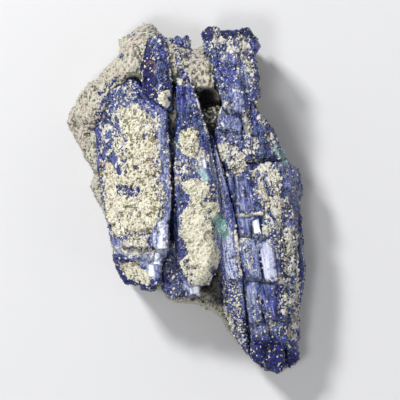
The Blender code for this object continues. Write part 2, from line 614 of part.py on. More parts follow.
CRUSTS = {
    # name: outline, thickness
    "crust_left_face": ([
        (-26.5, 31.5), (-22.0, 33.5), (-16.5, 32.5), (-13.0, 30.5), (-11.5, 25.5), (-10.5, 18.0),
        (-9.0, 13.0), (-9.5, 6.5), (-7.5, 2.0), (-7.5, -2.5), (-9.5, -7.0), (-12.5, -11.5),
        (-15.5, -16.5), (-19.5, -18.0), (-22.5, -14.0), (-27.0, -11.5), (-29.5, -8.5),
        (-28.5, -5.0), (-29.5, 1.5), (-30.6, 9.0), (-30.6, 15.5), (-27.5, 18.5), (-24.0, 22.5),
        (-23.5, 28.5),
    ], 2.0),
    "crust_left_foot": ([
        (-23.5, -22.3), (-18.5, -22.3), (-14.5, -25.0), (-12.5, -28.0), (-13.5, -30.5),
        (-17.5, -29.5), (-21.0, -28.0), (-23.3, -25.5),
    ], 1.5),
    "crust_wedge_tip": ([
        (-10.2, 38.6), (-6.5, 39.2), (-4.8, 36.0), (-4.6, 32.3), (-7.0, 32.7), (-9.9, 35.0),
    ], 1.9),
    "crust_centre_upper": ([
        (-1.8, 25.0), (1.5, 25.7), (4.0, 24.5), (5.0, 20.5), (4.0, 17.0), (1.5, 15.3),
        (-1.5, 17.0), (-2.8, 20.5),
    ], 2.2),
    "crust_centre_lower": ([
        (-1.5, 6.5), (3.0, 8.0), (7.5, 6.5), (8.5, 4.0), (6.5, 1.5), (6.0, -0.5), (11.5, -1.0),
        (11.5, -4.0), (9.0, -7.5), (9.0, -13.5), (11.5, -17.0), (11.6, -21.5), (11.0, -25.0),
        (7.5, -28.0), (5.0, -30.0), (1.5, -30.5), (-1.0, -25.5), (-2.5, -22.0), (0.5, -19.5),
        (0.0, -15.0), (-2.5, -12.5), (-2.5, -5.5), (0.0, -2.5), (1.5, 1.5), (-1.5, 4.0),
    ], 2.8),
    "crust_narrow_blade": ([
        (14.2, -28.9), (17.3, -28.4), (18.4, -33.0), (19.5, -39.5), (21.0, -46.5), (22.0, -54.0),
        (19.5, -51.5), (15.5, -45.0), (13.6, -39.0), (13.6, -33.0),
    ], 1.3),
    "crust_right_upper": ([
        (14.0, 18.0), (18.0, 19.5), (21.5, 16.0), (21.5, 11.0), (18.0, 9.0), (15.0, 11.5),
    ], 1.8),
    "crust_right_column": ([
        (27.0, 11.5), (31.0, 11.0), (34.2, 8.0), (33.5, 2.0), (34.5, -3.5), (33.5, -7.5),
        (32.0, -12.6), (27.4, -12.6), (28.5, -5.0), (27.0, 2.0),
    ], 1.5),
    "crust_right_flank": ([
        (34.8, -10.8), (36.8, -9.2), (39.0, -11.5), (40.2, -16.0), (40.2, -28.0), (39.6, -36.0),
        (38.5, -42.0), (36.4, -42.5), (35.4, -37.0), (34.8, -30.0), (33.8, -21.0), (33.8, -14.5),
    ], 1.5),
}

MALACHITE_PATCH = [(10.6, -6.6), (14.0, -6.4), (14.6, -10.0), (13.0, -12.2), (10.6, -10.6)]
MALACHITE_PATCH_THICKNESS = 0.9
MALACHITE_KNOB = [(31.6, 19.0), (34.0, 19.8), (35.6, 17.5), (35.6, 14.8), (33.4, 14.2), (31.8, 16.2)]
MALACHITE_KNOB_RINGS = [
    # height, how far inside the knob's outline
    (17.0, 0.5), (22.5, 0.0), (24.5, 0.7),
]
MALACHITE_KNOB_TOP = 25.3


def malachite_knob(bed):
    """The rounded bud of malachite on the right-hand edge."""
    points = [(*middle(MALACHITE_KNOB), MALACHITE_KNOB_TOP)]
    for height, inside in MALACHITE_KNOB_RINGS:
        points += [(x, y, height) for x, y in moved_in(MALACHITE_KNOB, inside)]
    piece = hull_object("malachite_knob", points)
    bed.trim(piece)
    painted(piece, MALACHITE)


def main():
    for piece in list(bpy.data.objects):
        bpy.data.objects.remove(piece)
    grown = []
    crystals = []
    for name, blades in (
        ("centre_crystal", centre_blades()),
        ("left_crystal", left_blades()),
        ("wedge_crystal", wedge_blades()),
        ("narrow_blade", narrow_blades()),
        ("right_crystal_bundle", right_blades()),
        ("upper_right_crystals", upper_right_blades()),
        ("top_edge_bud", top_bud_blades()),
    ):
        crystals.append(crystal(name, blades, grown))
        grown += blades
    rock = host_rock(grown)
    bed = Bed(rock, crystals, grown)
    for seed, (name, (outline, thickness)) in enumerate(CRUSTS.items()):
        crust(name, outline, thickness, bed, 20.0 + seed)
    crust("malachite_patch", MALACHITE_PATCH, MALACHITE_PATCH_THICKNESS, bed, 40.0, MALACHITE)
    malachite_knob(bed)


main()
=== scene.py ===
"""The azurite specimen's looks: striated azurite with a dusting and painted glints, granular cream
crusts and rock, loose crumbs, malachite, painted shade, sheen and highlights, and the floor, lights and
camera.

Lengths are in millimetres in the frame's axes until a mesh is made, which is in metres.
Features that lie at a place of their own are listed by where they show in the picture, and
at() turns that into the frame's X and Y.
"""

import math
from itertools import combinations, product

import bpy
import numpy as np
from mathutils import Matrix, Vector
from mathutils.bvhtree import BVHTree


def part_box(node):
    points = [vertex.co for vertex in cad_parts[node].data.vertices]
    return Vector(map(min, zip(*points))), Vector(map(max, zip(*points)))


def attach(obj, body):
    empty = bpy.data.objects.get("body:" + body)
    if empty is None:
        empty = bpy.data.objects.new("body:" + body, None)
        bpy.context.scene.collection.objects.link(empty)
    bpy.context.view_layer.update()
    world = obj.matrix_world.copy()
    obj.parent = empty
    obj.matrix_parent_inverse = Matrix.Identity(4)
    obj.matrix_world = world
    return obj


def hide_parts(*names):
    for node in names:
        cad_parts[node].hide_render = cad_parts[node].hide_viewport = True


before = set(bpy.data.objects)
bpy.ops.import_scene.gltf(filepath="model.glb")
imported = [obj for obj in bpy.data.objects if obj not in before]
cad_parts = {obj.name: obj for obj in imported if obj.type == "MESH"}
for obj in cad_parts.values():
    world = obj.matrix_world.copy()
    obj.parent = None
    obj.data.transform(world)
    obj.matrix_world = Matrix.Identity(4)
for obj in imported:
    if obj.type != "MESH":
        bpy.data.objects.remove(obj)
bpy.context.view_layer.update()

MM = 0.001
PICTURE_SIDE = 400  # pixels
PICTURE_STEP = 0.36  # millimetres that one pixel covers
PICTURE_ZERO = (186.5, 200.5)  # the pixel above the frame's origin
FACE_HEIGHT = 30.0  # how high the middle of the specimen's face lies
CAMERA_DISTANCE = 1250.0  # from that height

AZURITE_VOXEL = 0.34  # mesh spacing on the crystals
CRUST_VOXEL = 0.25
ROCK_VOXEL = 0.42
LOW = 0.5 * MM  # what is lower than this and faces down is hidden by the floor
HIDING_GAP = 1.0 * MM  # a face this close to another solid is hidden
HIDDEN_CUT = 0.94  # share of the hidden faces that is taken away
PROUD = 0.16  # how far the dressed surfaces stand proud, to close the gaps between solids
WINDOW_DEPTH = 2.2  # depth of a gap in a crust where its stroke's strength is 1
UNDERSIDE_DROP = 1.2  # how far a crust's underside sinks into its crystal
STROKE_EDGE = (0.65, 1.4)  # where a stroke starts to fade and where it ends, in half widths
MIXED_GRAIN = 0.9  # size of the grains where azurite and cream are mixed

# Each crystal's lean from +Y towards -X, in degrees, and how grainy its faces are, from
# striated and smooth to a crust of small crystals.
CRYSTALS = {
    "left_crystal": (1.0, 0.65),
    "wedge_crystal": (-8.0, 0.55),
    "centre_crystal": (10.0, 0.55),
    "narrow_blade": (12.0, 0.25),
    "right_crystal_bundle": (8.0, 0.22),
    "upper_right_crystals": (4.0, 1.0),
    "top_edge_bud": (20.0, 1.0),
}

# ---- Where things show ----

# A stroke is a line from one pixel to another, its half width in millimetres and its
# strength: in the first two tables the share of cream or blue grains, in the others how much
# of the effect there is.

# Cream grains on each crystal.
CREAM_ON_AZURITE = {
    "left_crystal": (
        (112, 90, 136, 86, 2.8, 0.34), (120, 100, 130, 96, 2.2, 0.4), (103, 98, 103, 150, 2.6, 0.44),
        (106, 160, 106, 205, 2.2, 0.5), (120, 112, 150, 120, 3, 0.42), (135, 128, 135, 235, 8.5, 0.75),
        (150, 112, 160, 150, 2.4, 0.22), (161, 105, 164, 200, 1.6, 0.12), (168, 128, 169, 205, 0.7, 0.4),
        (120, 249, 150, 249, 2.6, 0.48), (152, 224, 162, 244, 2.6, 0.34), (124, 266, 136, 272, 2.6, 0.5),
        (120, 259, 162, 249, 0.5, 0.75), (150, 284, 158, 288, 2, 0.2),
    ),
    "wedge_crystal": (
        (146, 40, 158, 44, 2, 0.4), (155, 50, 157, 92, 4, 0.13), (163, 36, 173, 80, 0.45, 0.8),
        (148, 64, 146, 78, 1.6, 0.14),
    ),
    "centre_crystal": (
        (179, 73, 181, 82, 1.4, 0.95), (188, 78, 196, 128, 2.4, 0.14), (189, 74, 209, 140, 0.4, 0.75),
        (184, 132, 200, 160, 3.2, 0.4), (182, 172, 206, 196, 4.5, 0.42), (198, 205, 206, 280, 6, 0.6),
        (212, 145, 219, 200, 2.2, 0.08), (172, 245, 180, 292, 4.5, 0.16), (172, 128, 176, 150, 1.2, 0.4),
        (176, 150, 175, 200, 0.7, 0.45),
    ),
    "narrow_blade": (
        (212, 150, 226, 220, 2.2, 0.18), (226, 225, 232, 280, 2.6, 0.12), (235, 226, 240, 275, 0.5, 0.7),
        (232, 285, 247, 350, 2.8, 0.34),
    ),
    "right_crystal_bundle": (
        (230, 172, 255, 176, 1.8, 0.3), (240, 180, 246, 208, 3, 0.07), (254, 172, 256, 190, 1.4, 0.6),
        (268, 172, 272, 232, 4, 0.66), (282, 236, 292, 318, 4.2, 0.56), (280, 200, 294, 232, 2.6, 0.4),
        (286, 166, 296, 196, 3.6, 0.12), (233, 216, 262, 213, 0.6, 0.85), (236, 237, 262, 234, 0.4, 0.5),
        (245, 241, 249, 264, 2, 0.4), (242, 282, 272, 280, 0.6, 0.35), (250, 300, 272, 330, 5, 0.16),
        (272, 323, 284, 326, 1.4, 0.45), (292, 320, 294, 345, 2.2, 0.45), (266, 345, 292, 366, 4, 0.11),
        (284, 318, 297, 350, 1.6, 0.3), (256, 340, 262, 362, 2.5, 0.1),
    ),
    "upper_right_crystals": (
        (212, 32, 250, 34, 2.2, 0.04), (216, 30, 218, 38, 1.3, 0.6), (206, 48, 240, 46, 2.8, 0.62),
        (244, 44, 246, 66, 2.4, 0.5), (212, 54, 224, 60, 3, 0.4), (240, 60, 250, 76, 2.6, 0.44),
        (214, 72, 252, 80, 4.5, 0.26), (218, 88, 254, 100, 5, 0.2), (222, 96, 226, 112, 1.8, 0.36),
        (214, 104, 221, 124, 1.8, 0.55), (246, 110, 250, 165, 1.6, 0.55), (228, 114, 236, 130, 4, 0.08),
        (230, 140, 262, 150, 4.5, 0.2), (224, 152, 246, 168, 3.6, 0.5), (254, 140, 258, 162, 1.4, 0.5),
        (262, 118, 276, 150, 1.6, 0.6), (256, 60, 256, 110, 1.8, 0.28),
    ),
    "top_edge_bud": ((172, 40, 190, 40, 3, 0.25),),
}

# Azurite grains on the crusts and the rock.
BLUE_ON_CREAM = (
    (129, 35, 132, 34, 1.1, 0.8), (118, 55, 121, 56, 1, 0.75), (140, 30, 156, 28, 1.6, 0.35),
    (156, 30, 166, 44, 1.4, 0.55), (171, 38, 190, 42, 2.6, 0.62), (176, 48, 184, 80, 1.7, 0.45),
    (184, 52, 196, 60, 1.4, 0.25), (104, 96, 100, 130, 2.2, 0.55), (113, 84, 104, 96, 1.8, 0.5),
    (97, 150, 104, 200, 1.2, 0.3), (121, 190, 136, 192, 1.9, 0.85), (118, 118, 122, 170, 2.4, 0.34),
    (150, 110, 160, 140, 1.8, 0.4), (155, 160, 164, 225, 1.6, 0.35), (120, 236, 160, 240, 1.8, 0.4),
    (186, 172, 206, 176, 2.6, 0.38), (183, 191, 188, 204, 1.5, 0.75), (206, 215, 216, 226, 1.4, 0.3),
    (184, 250, 190, 282, 1.5, 0.4), (228, 285, 248, 350, 3, 0.78), (262, 172, 280, 200, 2.4, 0.38),
    (262, 204, 272, 230, 2.6, 0.34), (226, 150, 244, 168, 3, 0.34), (276, 240, 298, 330, 3.6, 0.4),
    (279, 262, 283, 269, 1.2, 0.9), (170, 128, 178, 150, 1.4, 0.35), (172, 205, 177, 248, 2.6, 0.85),
)

# Gaps in the crusts, through which the crystal shows.
WINDOWS = (
    (125, 190, 132, 192, 1.3, 1.4), (113, 164, 118, 172, 1.2, 0.9), (119, 118, 121, 132, 1, 0.8),
    (131, 155, 132, 157, 0.7, 1), (123, 160, 124, 161, 0.6, 1), (137, 167, 138, 169, 0.7, 1),
    (150, 176, 151, 180, 0.6, 0.8), (112, 205, 118, 222, 1, 0.7), (110, 150, 116, 166, 1.4, 1.9),
    (118, 240, 135, 240, 1.6, 0.5), (137, 237, 160, 235, 2.4, 0.9), (229, 160, 240, 156, 0.8, 0.5),
    (262, 206, 270, 212, 0.9, 0.8), (105, 156, 111, 163, 1.2, 1.6), (184, 193, 187, 202, 1.3, 1),
    (205, 206, 212, 212, 1.3, 0.9), (186, 250, 187, 268, 0.9, 0.8), (286, 247, 287, 250, 0.8, 1),
    (290, 257, 291, 260, 0.7, 1), (282, 239, 283, 242, 0.7, 1), (280, 262, 282, 269, 1.2, 1),
    (288, 289, 290, 293, 0.9, 1), (284, 302, 288, 308, 0.9, 0.8), (268, 188, 270, 196, 0.8, 0.8),
    (230, 158, 232, 161, 0.7, 0.9), (264, 178, 266, 184, 0.7, 0.9), (273, 190, 274, 196, 0.7, 1),
    (265, 204, 268, 209, 0.8, 0.9), (272, 214, 275, 219, 0.8, 1), (262, 222, 266, 224, 0.6, 0.9),
    (283, 272, 286, 276, 0.8, 0.9), (292, 278, 293, 284, 0.7, 0.9),
)

# Flat polished faces that glare, each a rectangle along a line. Strength is how flat and how
# bright they are; part of that brightness is a painted highlight in their colour.
GLARE = (
    (162, 227, 163, 234, 0.8, 1), (161, 236, 162, 248, 1.3, 1), (158, 251, 157, 264, 1.2, 1),
    (151, 264, 151, 276, 1.1, 1), (135, 263, 144, 262, 0.5, 1), (190, 290, 199, 290, 1.7, 1),
    (218, 240, 219, 250, 0.8, 1), (203, 160, 205, 169, 0.6, 1), (211, 158, 211, 166, 0.6, 1),
    (254, 220, 257, 233, 1.3, 1), (262, 243, 271, 277, 2.3, 0.62),
)
# Rise of such a face towards +X and +Y, which turns it to the glint light.
MIRROR_SLOPE = (0.11, 0.08)

# Places that are grainier than the rest of their crystal.
GRAINY = (
    (286, 166, 296, 196, 5, 1), (296, 200, 302, 330, 2.5, 0.8), (266, 345, 292, 366, 6, 0.9),
    (165, 245, 178, 292, 5, 0.9), (276, 120, 282, 160, 3, 0.9),
)

# Azurite with vivid, deep blue spots.
DEEP = (
    (146, 56, 150, 92, 2.4, 0.35), (150, 84, 160, 92, 1.6, 0.8), (102, 96, 104, 112, 1, 0.8),
    (112, 128, 115, 134, 1.2, 1), (248, 178, 250, 192, 0.7, 1), (274, 242, 278, 275, 0.8, 1),
    (278, 302, 280, 315, 1.6, 0.9), (262, 302, 272, 308, 1.8, 0.7), (300, 240, 303, 290, 1.4, 0.9),
    (284, 300, 290, 312, 1.2, 0.8), (288, 342, 297, 352, 1.6, 0.9), (256, 340, 266, 360, 2.6, 0.6),
    (264, 346, 290, 366, 4.4, 0.85), (216, 152, 220, 190, 1, 0.7), (232, 92, 242, 108, 1.6, 0.6),
    (126, 280, 135, 284, 1.8, 0.6), (142, 282, 156, 288, 2, 0.6), (181, 90, 184, 126, 1, 0.7),
)

# Painted shade: azurite darkened to near black where its faces lie in shade.
SHADE_STROKES = (
    (147, 58, 151, 94, 2.6, 0.95), (147, 48, 152, 60, 1.6, 0.6), (100, 100, 104, 120, 1.8, 0.6),
    (120, 274, 138, 286, 2.4, 0.65), (140, 286, 158, 291, 2, 0.6), (170, 245, 184, 292, 5, 0.45),
    (258, 342, 268, 364, 4, 0.8), (266, 350, 292, 368, 4.4, 0.95), (206, 32, 252, 33, 2.8, 0.85),
    (147, 60, 150, 90, 1.8, 1), (216, 150, 220, 192, 1.2, 0.7), (300, 240, 303, 290, 1.6, 0.5),
    (248, 320, 254, 345, 3, 0.4), (258, 298, 261, 308, 0.9, 1), (262, 309, 270, 311, 0.7, 0.9),
)

# Painted sheen: azurite painted pale and streaky where its faces catch a sheen of light.
SHEEN_STROKES = (
    (222, 226, 231, 274, 2.8, 0.8), (214, 156, 226, 222, 1.8, 0.35), (162, 106, 166, 200, 2.2, 0.25),
    (164, 170, 168, 220, 2, 0.45), (159, 226, 163, 247, 2.8, 0.9), (158, 250, 156, 264, 1.6, 0.9),
    (151, 264, 151, 276, 1.5, 1), (148, 256, 158, 270, 2.4, 0.45), (134, 263, 146, 263, 1.2, 0.75),
    (118, 247, 134, 252, 2, 0.35), (238, 180, 246, 206, 2.6, 0.25), (240, 220, 246, 232, 2.4, 0.2),
    (242, 242, 254, 274, 3, 0.35), (262, 243, 271, 278, 3, 0.4), (254, 221, 257, 232, 1.8, 0.75),
    (244, 284, 262, 325, 4, 0.25), (216, 238, 220, 251, 1.6, 0.7), (202, 158, 210, 186, 2.4, 0.35),
    (222, 122, 240, 128, 2.4, 0.28), (229, 56, 237, 62, 2.2, 0.3), (241, 72, 246, 80, 1.6, 0.35),
    (223, 99, 229, 110, 1.8, 0.4), (288, 166, 296, 194, 3.4, 0.16), (234, 91, 242, 107, 2, 0.35),
    (190, 286, 198, 294, 2.4, 0.6),
)

# Painted shade: near-black in the rock's deep hollows and in the clefts between crystals.
HOLLOW_SHADE_STROKES = (
    (206, 97, 211, 106, 3.4, 1), (205, 106, 216, 150, 3.4, 0.85), (133, 80, 140, 86, 1.6, 0.75),
    (176, 84, 178, 96, 1, 0.9), (186, 57, 188, 59, 0.7, 0.9), (204, 276, 222, 296, 3.8, 0.88),
    (172, 150, 178, 205, 2.6, 0.75), (172, 205, 176, 250, 2.6, 0.45), (136, 52, 140, 62, 0.4, 0.8),
)

# Walls that lean: a line between two pixels, its half width, how far the wall moves along X
# and along Y, and the heights where it still stands and where it has moved all the way.
LEANS = {
    "host_rock": ((194, 74, 212, 84, 2.8, 0, -2.6, 18, 34),),
    "centre_crystal": (
        (175, 148, 174, 200, 2, -0.9, 0, 40, 35), (177, 204, 179, 248, 2.8, -2, 0, 39, 30),
    ),
    "left_crystal": ((169, 140, 168, 204, 2, 0.8, 0, 40, 35),),
    "upper_right_crystals": ((214, 88, 216, 103, 2.4, 1.7, 0, 8, 14),),
}

# Where crumbs lie in the dark hollow.
CAVITY_CRUMBS = ((206, 112, 221, 110, 1.3, 1), (208, 118, 221, 121, 1.6, 0.9))

# Specks of malachite.
GREEN = (
    (217, 219, 225, 234, 1.7, 1), (201, 172, 206, 178, 1.1, 0.9), (172, 77, 176, 80, 0.9, 0.6),
    (278, 148, 284, 160, 1.6, 1), (172, 140, 176, 148, 1, 0.4),
)

# Rust: a thin ring of six strokes on the wedge, and three faint stains.
RUST = (
    (147, 69, 147.6, 65, 0.28, 0.5), (147.6, 65, 150.2, 62.8, 0.32, 0.8),
    (150.2, 62.8, 153.6, 63.4, 0.3, 0.9), (153.6, 63.4, 155.4, 66.4, 0.34, 0.75),
    (155.4, 66.4, 154.8, 70, 0.28, 0.8), (154.8, 70, 152.4, 72, 0.28, 0.55),
    (132, 226, 138, 232, 1.4, 0.3), (105, 165, 112, 175, 1.6, 0.5), (150, 150, 154, 176, 1.2, 0.35),
)

# ---- Grain and tones ----

FINE_CRUST = "crust_centre_lower"  # finer in grain than the other crusts

# The size of the grains and the depth of the relief, for the pieces that are all grains.
GRAIN = {
    FINE_CRUST: (0.75, 0.28),
    "crust": (0.95, 0.50),
    "malachite": (0.9, 0.45),
    "host_rock": (1.15, 0.55),
}

# The size of what azurite's faces carry, across, along and through the crystal.
TERRACE = (3.4, 24.0, 3.4)
STRIATION = (0.8, 12.0, 0.8)
HAIRLINE = (0.45, 7.0, 0.45)
SMALL_CRYSTAL = (0.95, 1.3, 0.95)

RICE = np.array((0.72, 1.15, 0.9))  # the shape of a cream grain, beside its size

# Cream crumbs to the square millimetre of a crystal's box, azurite grains to each of them
# where the graininess is 1, and their least and greatest size.
CRUMB_DENSITY = 0.50
GRAINS_PER_CRUMB = 1.8
CRUMB_SIZES = (0.2, 0.9)
GRAIN_SIZES = (0.25, 1.0)

# How many loose crumbs there are, their least and greatest size, and their seed.
LOOSE = {
    "fine_crust_crumbs": (2600, (0.25, 0.7), 59),
    "crust_crumbs": (5200, (0.3, 1.0), 60),
    "rock_crumbs": (7700, (0.3, 1.2), 61),
    "cavity_crumbs": (130, (0.6, 1.4), 63),
    "azurite_crumbs": (1600, (0.35, 1.1), 62),
    "malachite_crumbs": (260, (0.35, 0.9), 64),
}
CHIP_SIZE = 0.55  # crumbs under this size are chips, which have fewer faces

# How dark a crust's painted shade in its gaps and hollows and its dull grains are, beside the other
# crusts.
GAP_DARKNESS = {FINE_CRUST: 0.7, "crust_wedge_tip": 0.3, "crust_narrow_blade": 1.4}

# The light, the warm and the dark tone of each slot's grains; for azurite, of the cream
# grains that lie on it. The dark tone is also the painted shade in the gaps and hollows.
TONES = {
    "azurite": ((0.66, 0.64, 0.57), (0.56, 0.53, 0.47), (0.19, 0.17, 0.15)),
    "cream_crust": ((0.70, 0.68, 0.565), (0.66, 0.635, 0.515), (0.16, 0.125, 0.06)),
    "host_rock": ((0.50, 0.49, 0.405), (0.505, 0.455, 0.39), (0.075, 0.062, 0.048)),
    "malachite": ((0.46, 0.66, 0.62), (0.26, 0.46, 0.44), (0.05, 0.14, 0.13)),
}
COOL_CREAM = (0.54, 0.54, 0.585)
MOSSY_CREAM = (0.54, 0.575, 0.385)
STAINED_CREAM = (0.42, 0.29, 0.22)

# How far each crust's cream leans towards COOL_CREAM.
COOLNESS = {
    "crust_wedge_tip": 0.3, "crust_narrow_blade": 1.0, "crust_right_column": 0.6,
    "crust_right_flank": 0.9, "crust_right_upper": 0.4,
}

# Azurite's colours. Those that come in pairs have the darker tone first.
ROYAL = ((0.005, 0.006, 0.055), (0.034, 0.044, 0.24))
SLATE = ((0.006, 0.011, 0.044), (0.036, 0.064, 0.19))
# The painted sheen's streaky tones.
PAINTED_SHEEN = ((0.07, 0.09, 0.28), (0.61, 0.65, 0.79))
# A painted highlight on the glaring faces.
PAINTED_GLARE = ((0.46, 0.50, 0.66), (0.76, 0.78, 0.85))
STRIATED = (0.17, 0.205, 0.41)
# Pale dusting, whose speckle also stands in for glints: partly a painted highlight.
DUST_AND_GLINTS = (0.33, 0.365, 0.50)
# The painted shade's near-black blue.
PAINTED_SHADE_BLUE = (0.002, 0.003, 0.030)
VIVID = (0.020, 0.018, 0.42)
# Painted shade in the azurite's pits.
PIT_SHADE = (0.006, 0.007, 0.022)

# The colours of stains and specks on all of them, and of the painted shade in the rock's hollows.
VERDIGRIS = ((0.19, 0.34, 0.32), (0.46, 0.62, 0.58))
RUSTY = (0.26, 0.12, 0.06)
# Painted shade in the rock's deep hollows.
HOLLOW_SHADE_COLOUR = (0.026, 0.025, 0.036)

STONE_IOR = 1.56
STONE_SPECULAR = 0.28

# Each light's place, side and power, in metres and watts.
LIGHTS = {
    "key": ((-0.45, 0.55, 0.80), 0.16, 10.8),
    "fill": ((0.7, -0.2, 0.8), 0.6, 1.2),
    "glint": ((-0.21, -0.17, 1.05), 0.20, 3.6),
    "overhead": ((0.0, 0.0, 1.7), 0.45, 2.4),
}
STUDIO_WHITE = (0.95, 0.97, 1.0)
SKY = 0.12  # how bright the studio is all round
FLOOR_GREY = (0.60, 0.60, 0.61)
WALL_GLOW = 0.28  # light that the backdrop's wall gives off, so that it stays pale


def at(across, down):
    """The frame's X and Y, in millimetres, under a pixel of the picture."""
    return np.array(
        ((across - PICTURE_ZERO[0]) * PICTURE_STEP, (PICTURE_ZERO[1] - down) * PICTURE_STEP)
    )


# ---- Noise ----


def lattice(cells, seed):
    """A repeatable random number from 0 to 1 for each whole-number cell."""
    whole = cells.astype(np.int64).astype(np.uint64)
    mixed = whole[..., 0] * np.uint64(73856093)
    mixed ^= whole[..., 1] * np.uint64(19349663)
    mixed ^= whole[..., 2] * np.uint64(83492791)
    mixed ^= np.uint64(seed * 2654435761 % 2**32)
    for shift, factor in ((16, 0x7FEB352D), (15, 0x846CA68B), (16, 1)):
        mixed &= np.uint64(0xFFFFFFFF)
        mixed ^= mixed >> np.uint64(shift)
        mixed *= np.uint64(factor)
    return (mixed & np.uint64(0xFFFFFFFF)) / 2.0**32


def smooth_noise(points, size, seed):
    """Smooth noise from -1 to 1 with lumps of about that size; size may differ by axis."""
    scaled = points / np.asarray(size, float)
    cell = np.floor(scaled)
    part = scaled - cell
    ease = part * part * (3 - 2 * part)
    total = np.zeros(len(points))
    for corner in np.ndindex(2, 2, 2):
        weight = np.prod(np.where(corner, ease, 1 - ease), axis=1)
        total += weight * lattice(cell + corner, seed)
    return 2 * total - 1


def fractal(points, size, seed, octaves=3):
    """Smooth noise with finer and fainter noise added to it."""
    total = np.zeros(len(points))
    reach = 0.0
    for octave in range(octaves):
        finer = np.asarray(size, float) / 2**octave
        total += smooth_noise(points, finer, seed + octave) / 2**octave
        reach += 1 / 2**octave
    return total / reach * 1.4


def warped(points, amount, size, seed):
    """Points pushed about by smooth noise, so that a pattern read there comes out bent."""
    push = [smooth_noise(points, size, seed + axis) for axis in range(3)]
    return points + amount * np.stack(push, axis=1)


def cells_of(points, size, seed):
    """Distance to the nearest of scattered seeds, in cell sizes, and its random number."""
    scaled = points / np.asarray(size, float)
    cell = np.floor(scaled)
    nearest = np.full(len(points), 9.0)
    label = np.zeros(len(points))
    for offset in np.ndindex(3, 3, 3):
        there = cell + offset - 1
        seeds = np.stack([lattice(there, seed + 11 * axis) for axis in range(3)], axis=1)
        distance = np.linalg.norm(there + seeds - scaled, axis=1)
        label = np.where(distance < nearest, lattice(there, seed + 77), label)
        nearest = np.minimum(nearest, distance)
    return nearest, label


def ramp(values, low, high):
    """0 below low, 1 above high and a smooth rise between them."""
    part = np.clip((values - low) / (high - low), 0.0, 1.0)
    return part * part * (3 - 2 * part)


def distance_to(points, x0, y0, x1, y1):
    """How far each point lies, seen from above, from the line between two pixels."""
    start = at(x0, y0)
    run = at(x1, y1) - start
    away = points[:, :2] - start
    share = np.clip(away @ run / max(run @ run, 1e-9), 0, 1)
    return np.linalg.norm(away - share[:, None] * run, axis=1)


def spread(points, strokes):
    """The strongest stroke at each point, which fades out around the stroke's edge."""
    value = np.zeros(len(points))
    inner, outer = STROKE_EDGE
    for *line, reach, strength in strokes:
        distance = distance_to(points, *line)
        value = np.maximum(value, strength * (1 - ramp(distance, inner * reach, outer * reach)))
    return value


def marked(points, normals, strokes):
    """The strokes on faces that look up, since they would run down the walls as stripes."""
    return spread(points, strokes) * ramp(normals[:, 2], -0.1, 0.4)


def facing_up(_, normals):
    """1 on faces that look up, 0 on those that look down."""
    return ramp(normals[:, 2], -0.2, 0.5)


# ---- Meshes ----


def new_object(name, data):
    made = bpy.data.objects.new(name, data)
    bpy.context.scene.collection.objects.link(made)
    return made


def points_of(mesh):
    """A mesh's vertices in millimetres, and their normals."""
    points = np.empty(3 * len(mesh.vertices), np.float32)
    mesh.vertices.foreach_get("co", points)
    normals = np.empty(3 * len(mesh.vertices), np.float32)
    mesh.vertex_normals.foreach_get("vector", normals)
    return points.reshape(-1, 3).astype(float) / MM, normals.reshape(-1, 3).astype(float)


def value_of(mesh, name):
    """Numbers stored for each vertex under a name."""
    numbers = np.empty(len(mesh.vertices), np.float32)
    mesh.attributes[name].data.foreach_get("value", numbers)
    return numbers


def set_points(mesh, points):
    mesh.vertices.foreach_set("co", (points * MM).astype(np.float32).ravel())
    mesh.update()


def set_values(mesh, values):
    """Stores a number for each vertex, or one for all of them, by name, for the materials."""
    for name, numbers in values.items():
        layer = mesh.attributes.new(name, "FLOAT", "POINT")
        layer.data.foreach_set("value", np.full(len(mesh.vertices), numbers, np.float32))


def hidden_points(mesh, node):
    """1 at each vertex that looks straight onto another solid or onto the floor. Crusts and
    malachite hide only malachite, because what is under them shows in their gaps."""
    points, faces = [], []
    for other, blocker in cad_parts.items():
        loose = other.startswith(("crust_", "malachite_"))
        if other == node or (loose and not node.startswith("malachite_")):
            continue
        start = len(points)
        points += [vertex.co for vertex in blocker.data.vertices]
        faces += [[start + i for i in polygon.vertices] for polygon in blocker.data.polygons]
    tree = BVHTree.FromPolygons(points, faces)
    hidden = np.zeros(len(mesh.vertices))
    for i, vertex in enumerate(mesh.vertices):
        low = vertex.co.z < LOW and vertex.normal.z < -0.5
        hidden[i] = low or tree.ray_cast(vertex.co, vertex.normal, HIDING_GAP)[0] is not None
    return hidden


def applied(piece, kind, **settings):
    """Gives a piece a modifier and makes its result the piece's mesh."""
    modifier = piece.modifiers.new(kind.lower(), kind)
    for key, value in settings.items():
        setattr(modifier, key, value)
    bpy.context.view_layer.update()
    result = piece.evaluated_get(bpy.context.evaluated_depsgraph_get())
    mesh = bpy.data.meshes.new_from_object(result)
    piece.modifiers.remove(modifier)
    piece.data = mesh


def lean_walls(mesh, node):
    """Leans the walls that LEANS lists, each unevenly along its length."""
    points, _ = points_of(mesh)
    for x0, y0, x1, y1, reach, across, along, still, moved in LEANS.get(node, ()):
        share = spread(points, ((x0, y0, x1, y1, reach, 1.0),)) * ramp(points[:, 2], still, moved)
        share *= 0.8 + 0.5 * smooth_noise(points, 4.0, 71)
        points[:, :2] += share[:, None] * np.array((across, along))
    set_points(mesh, points)


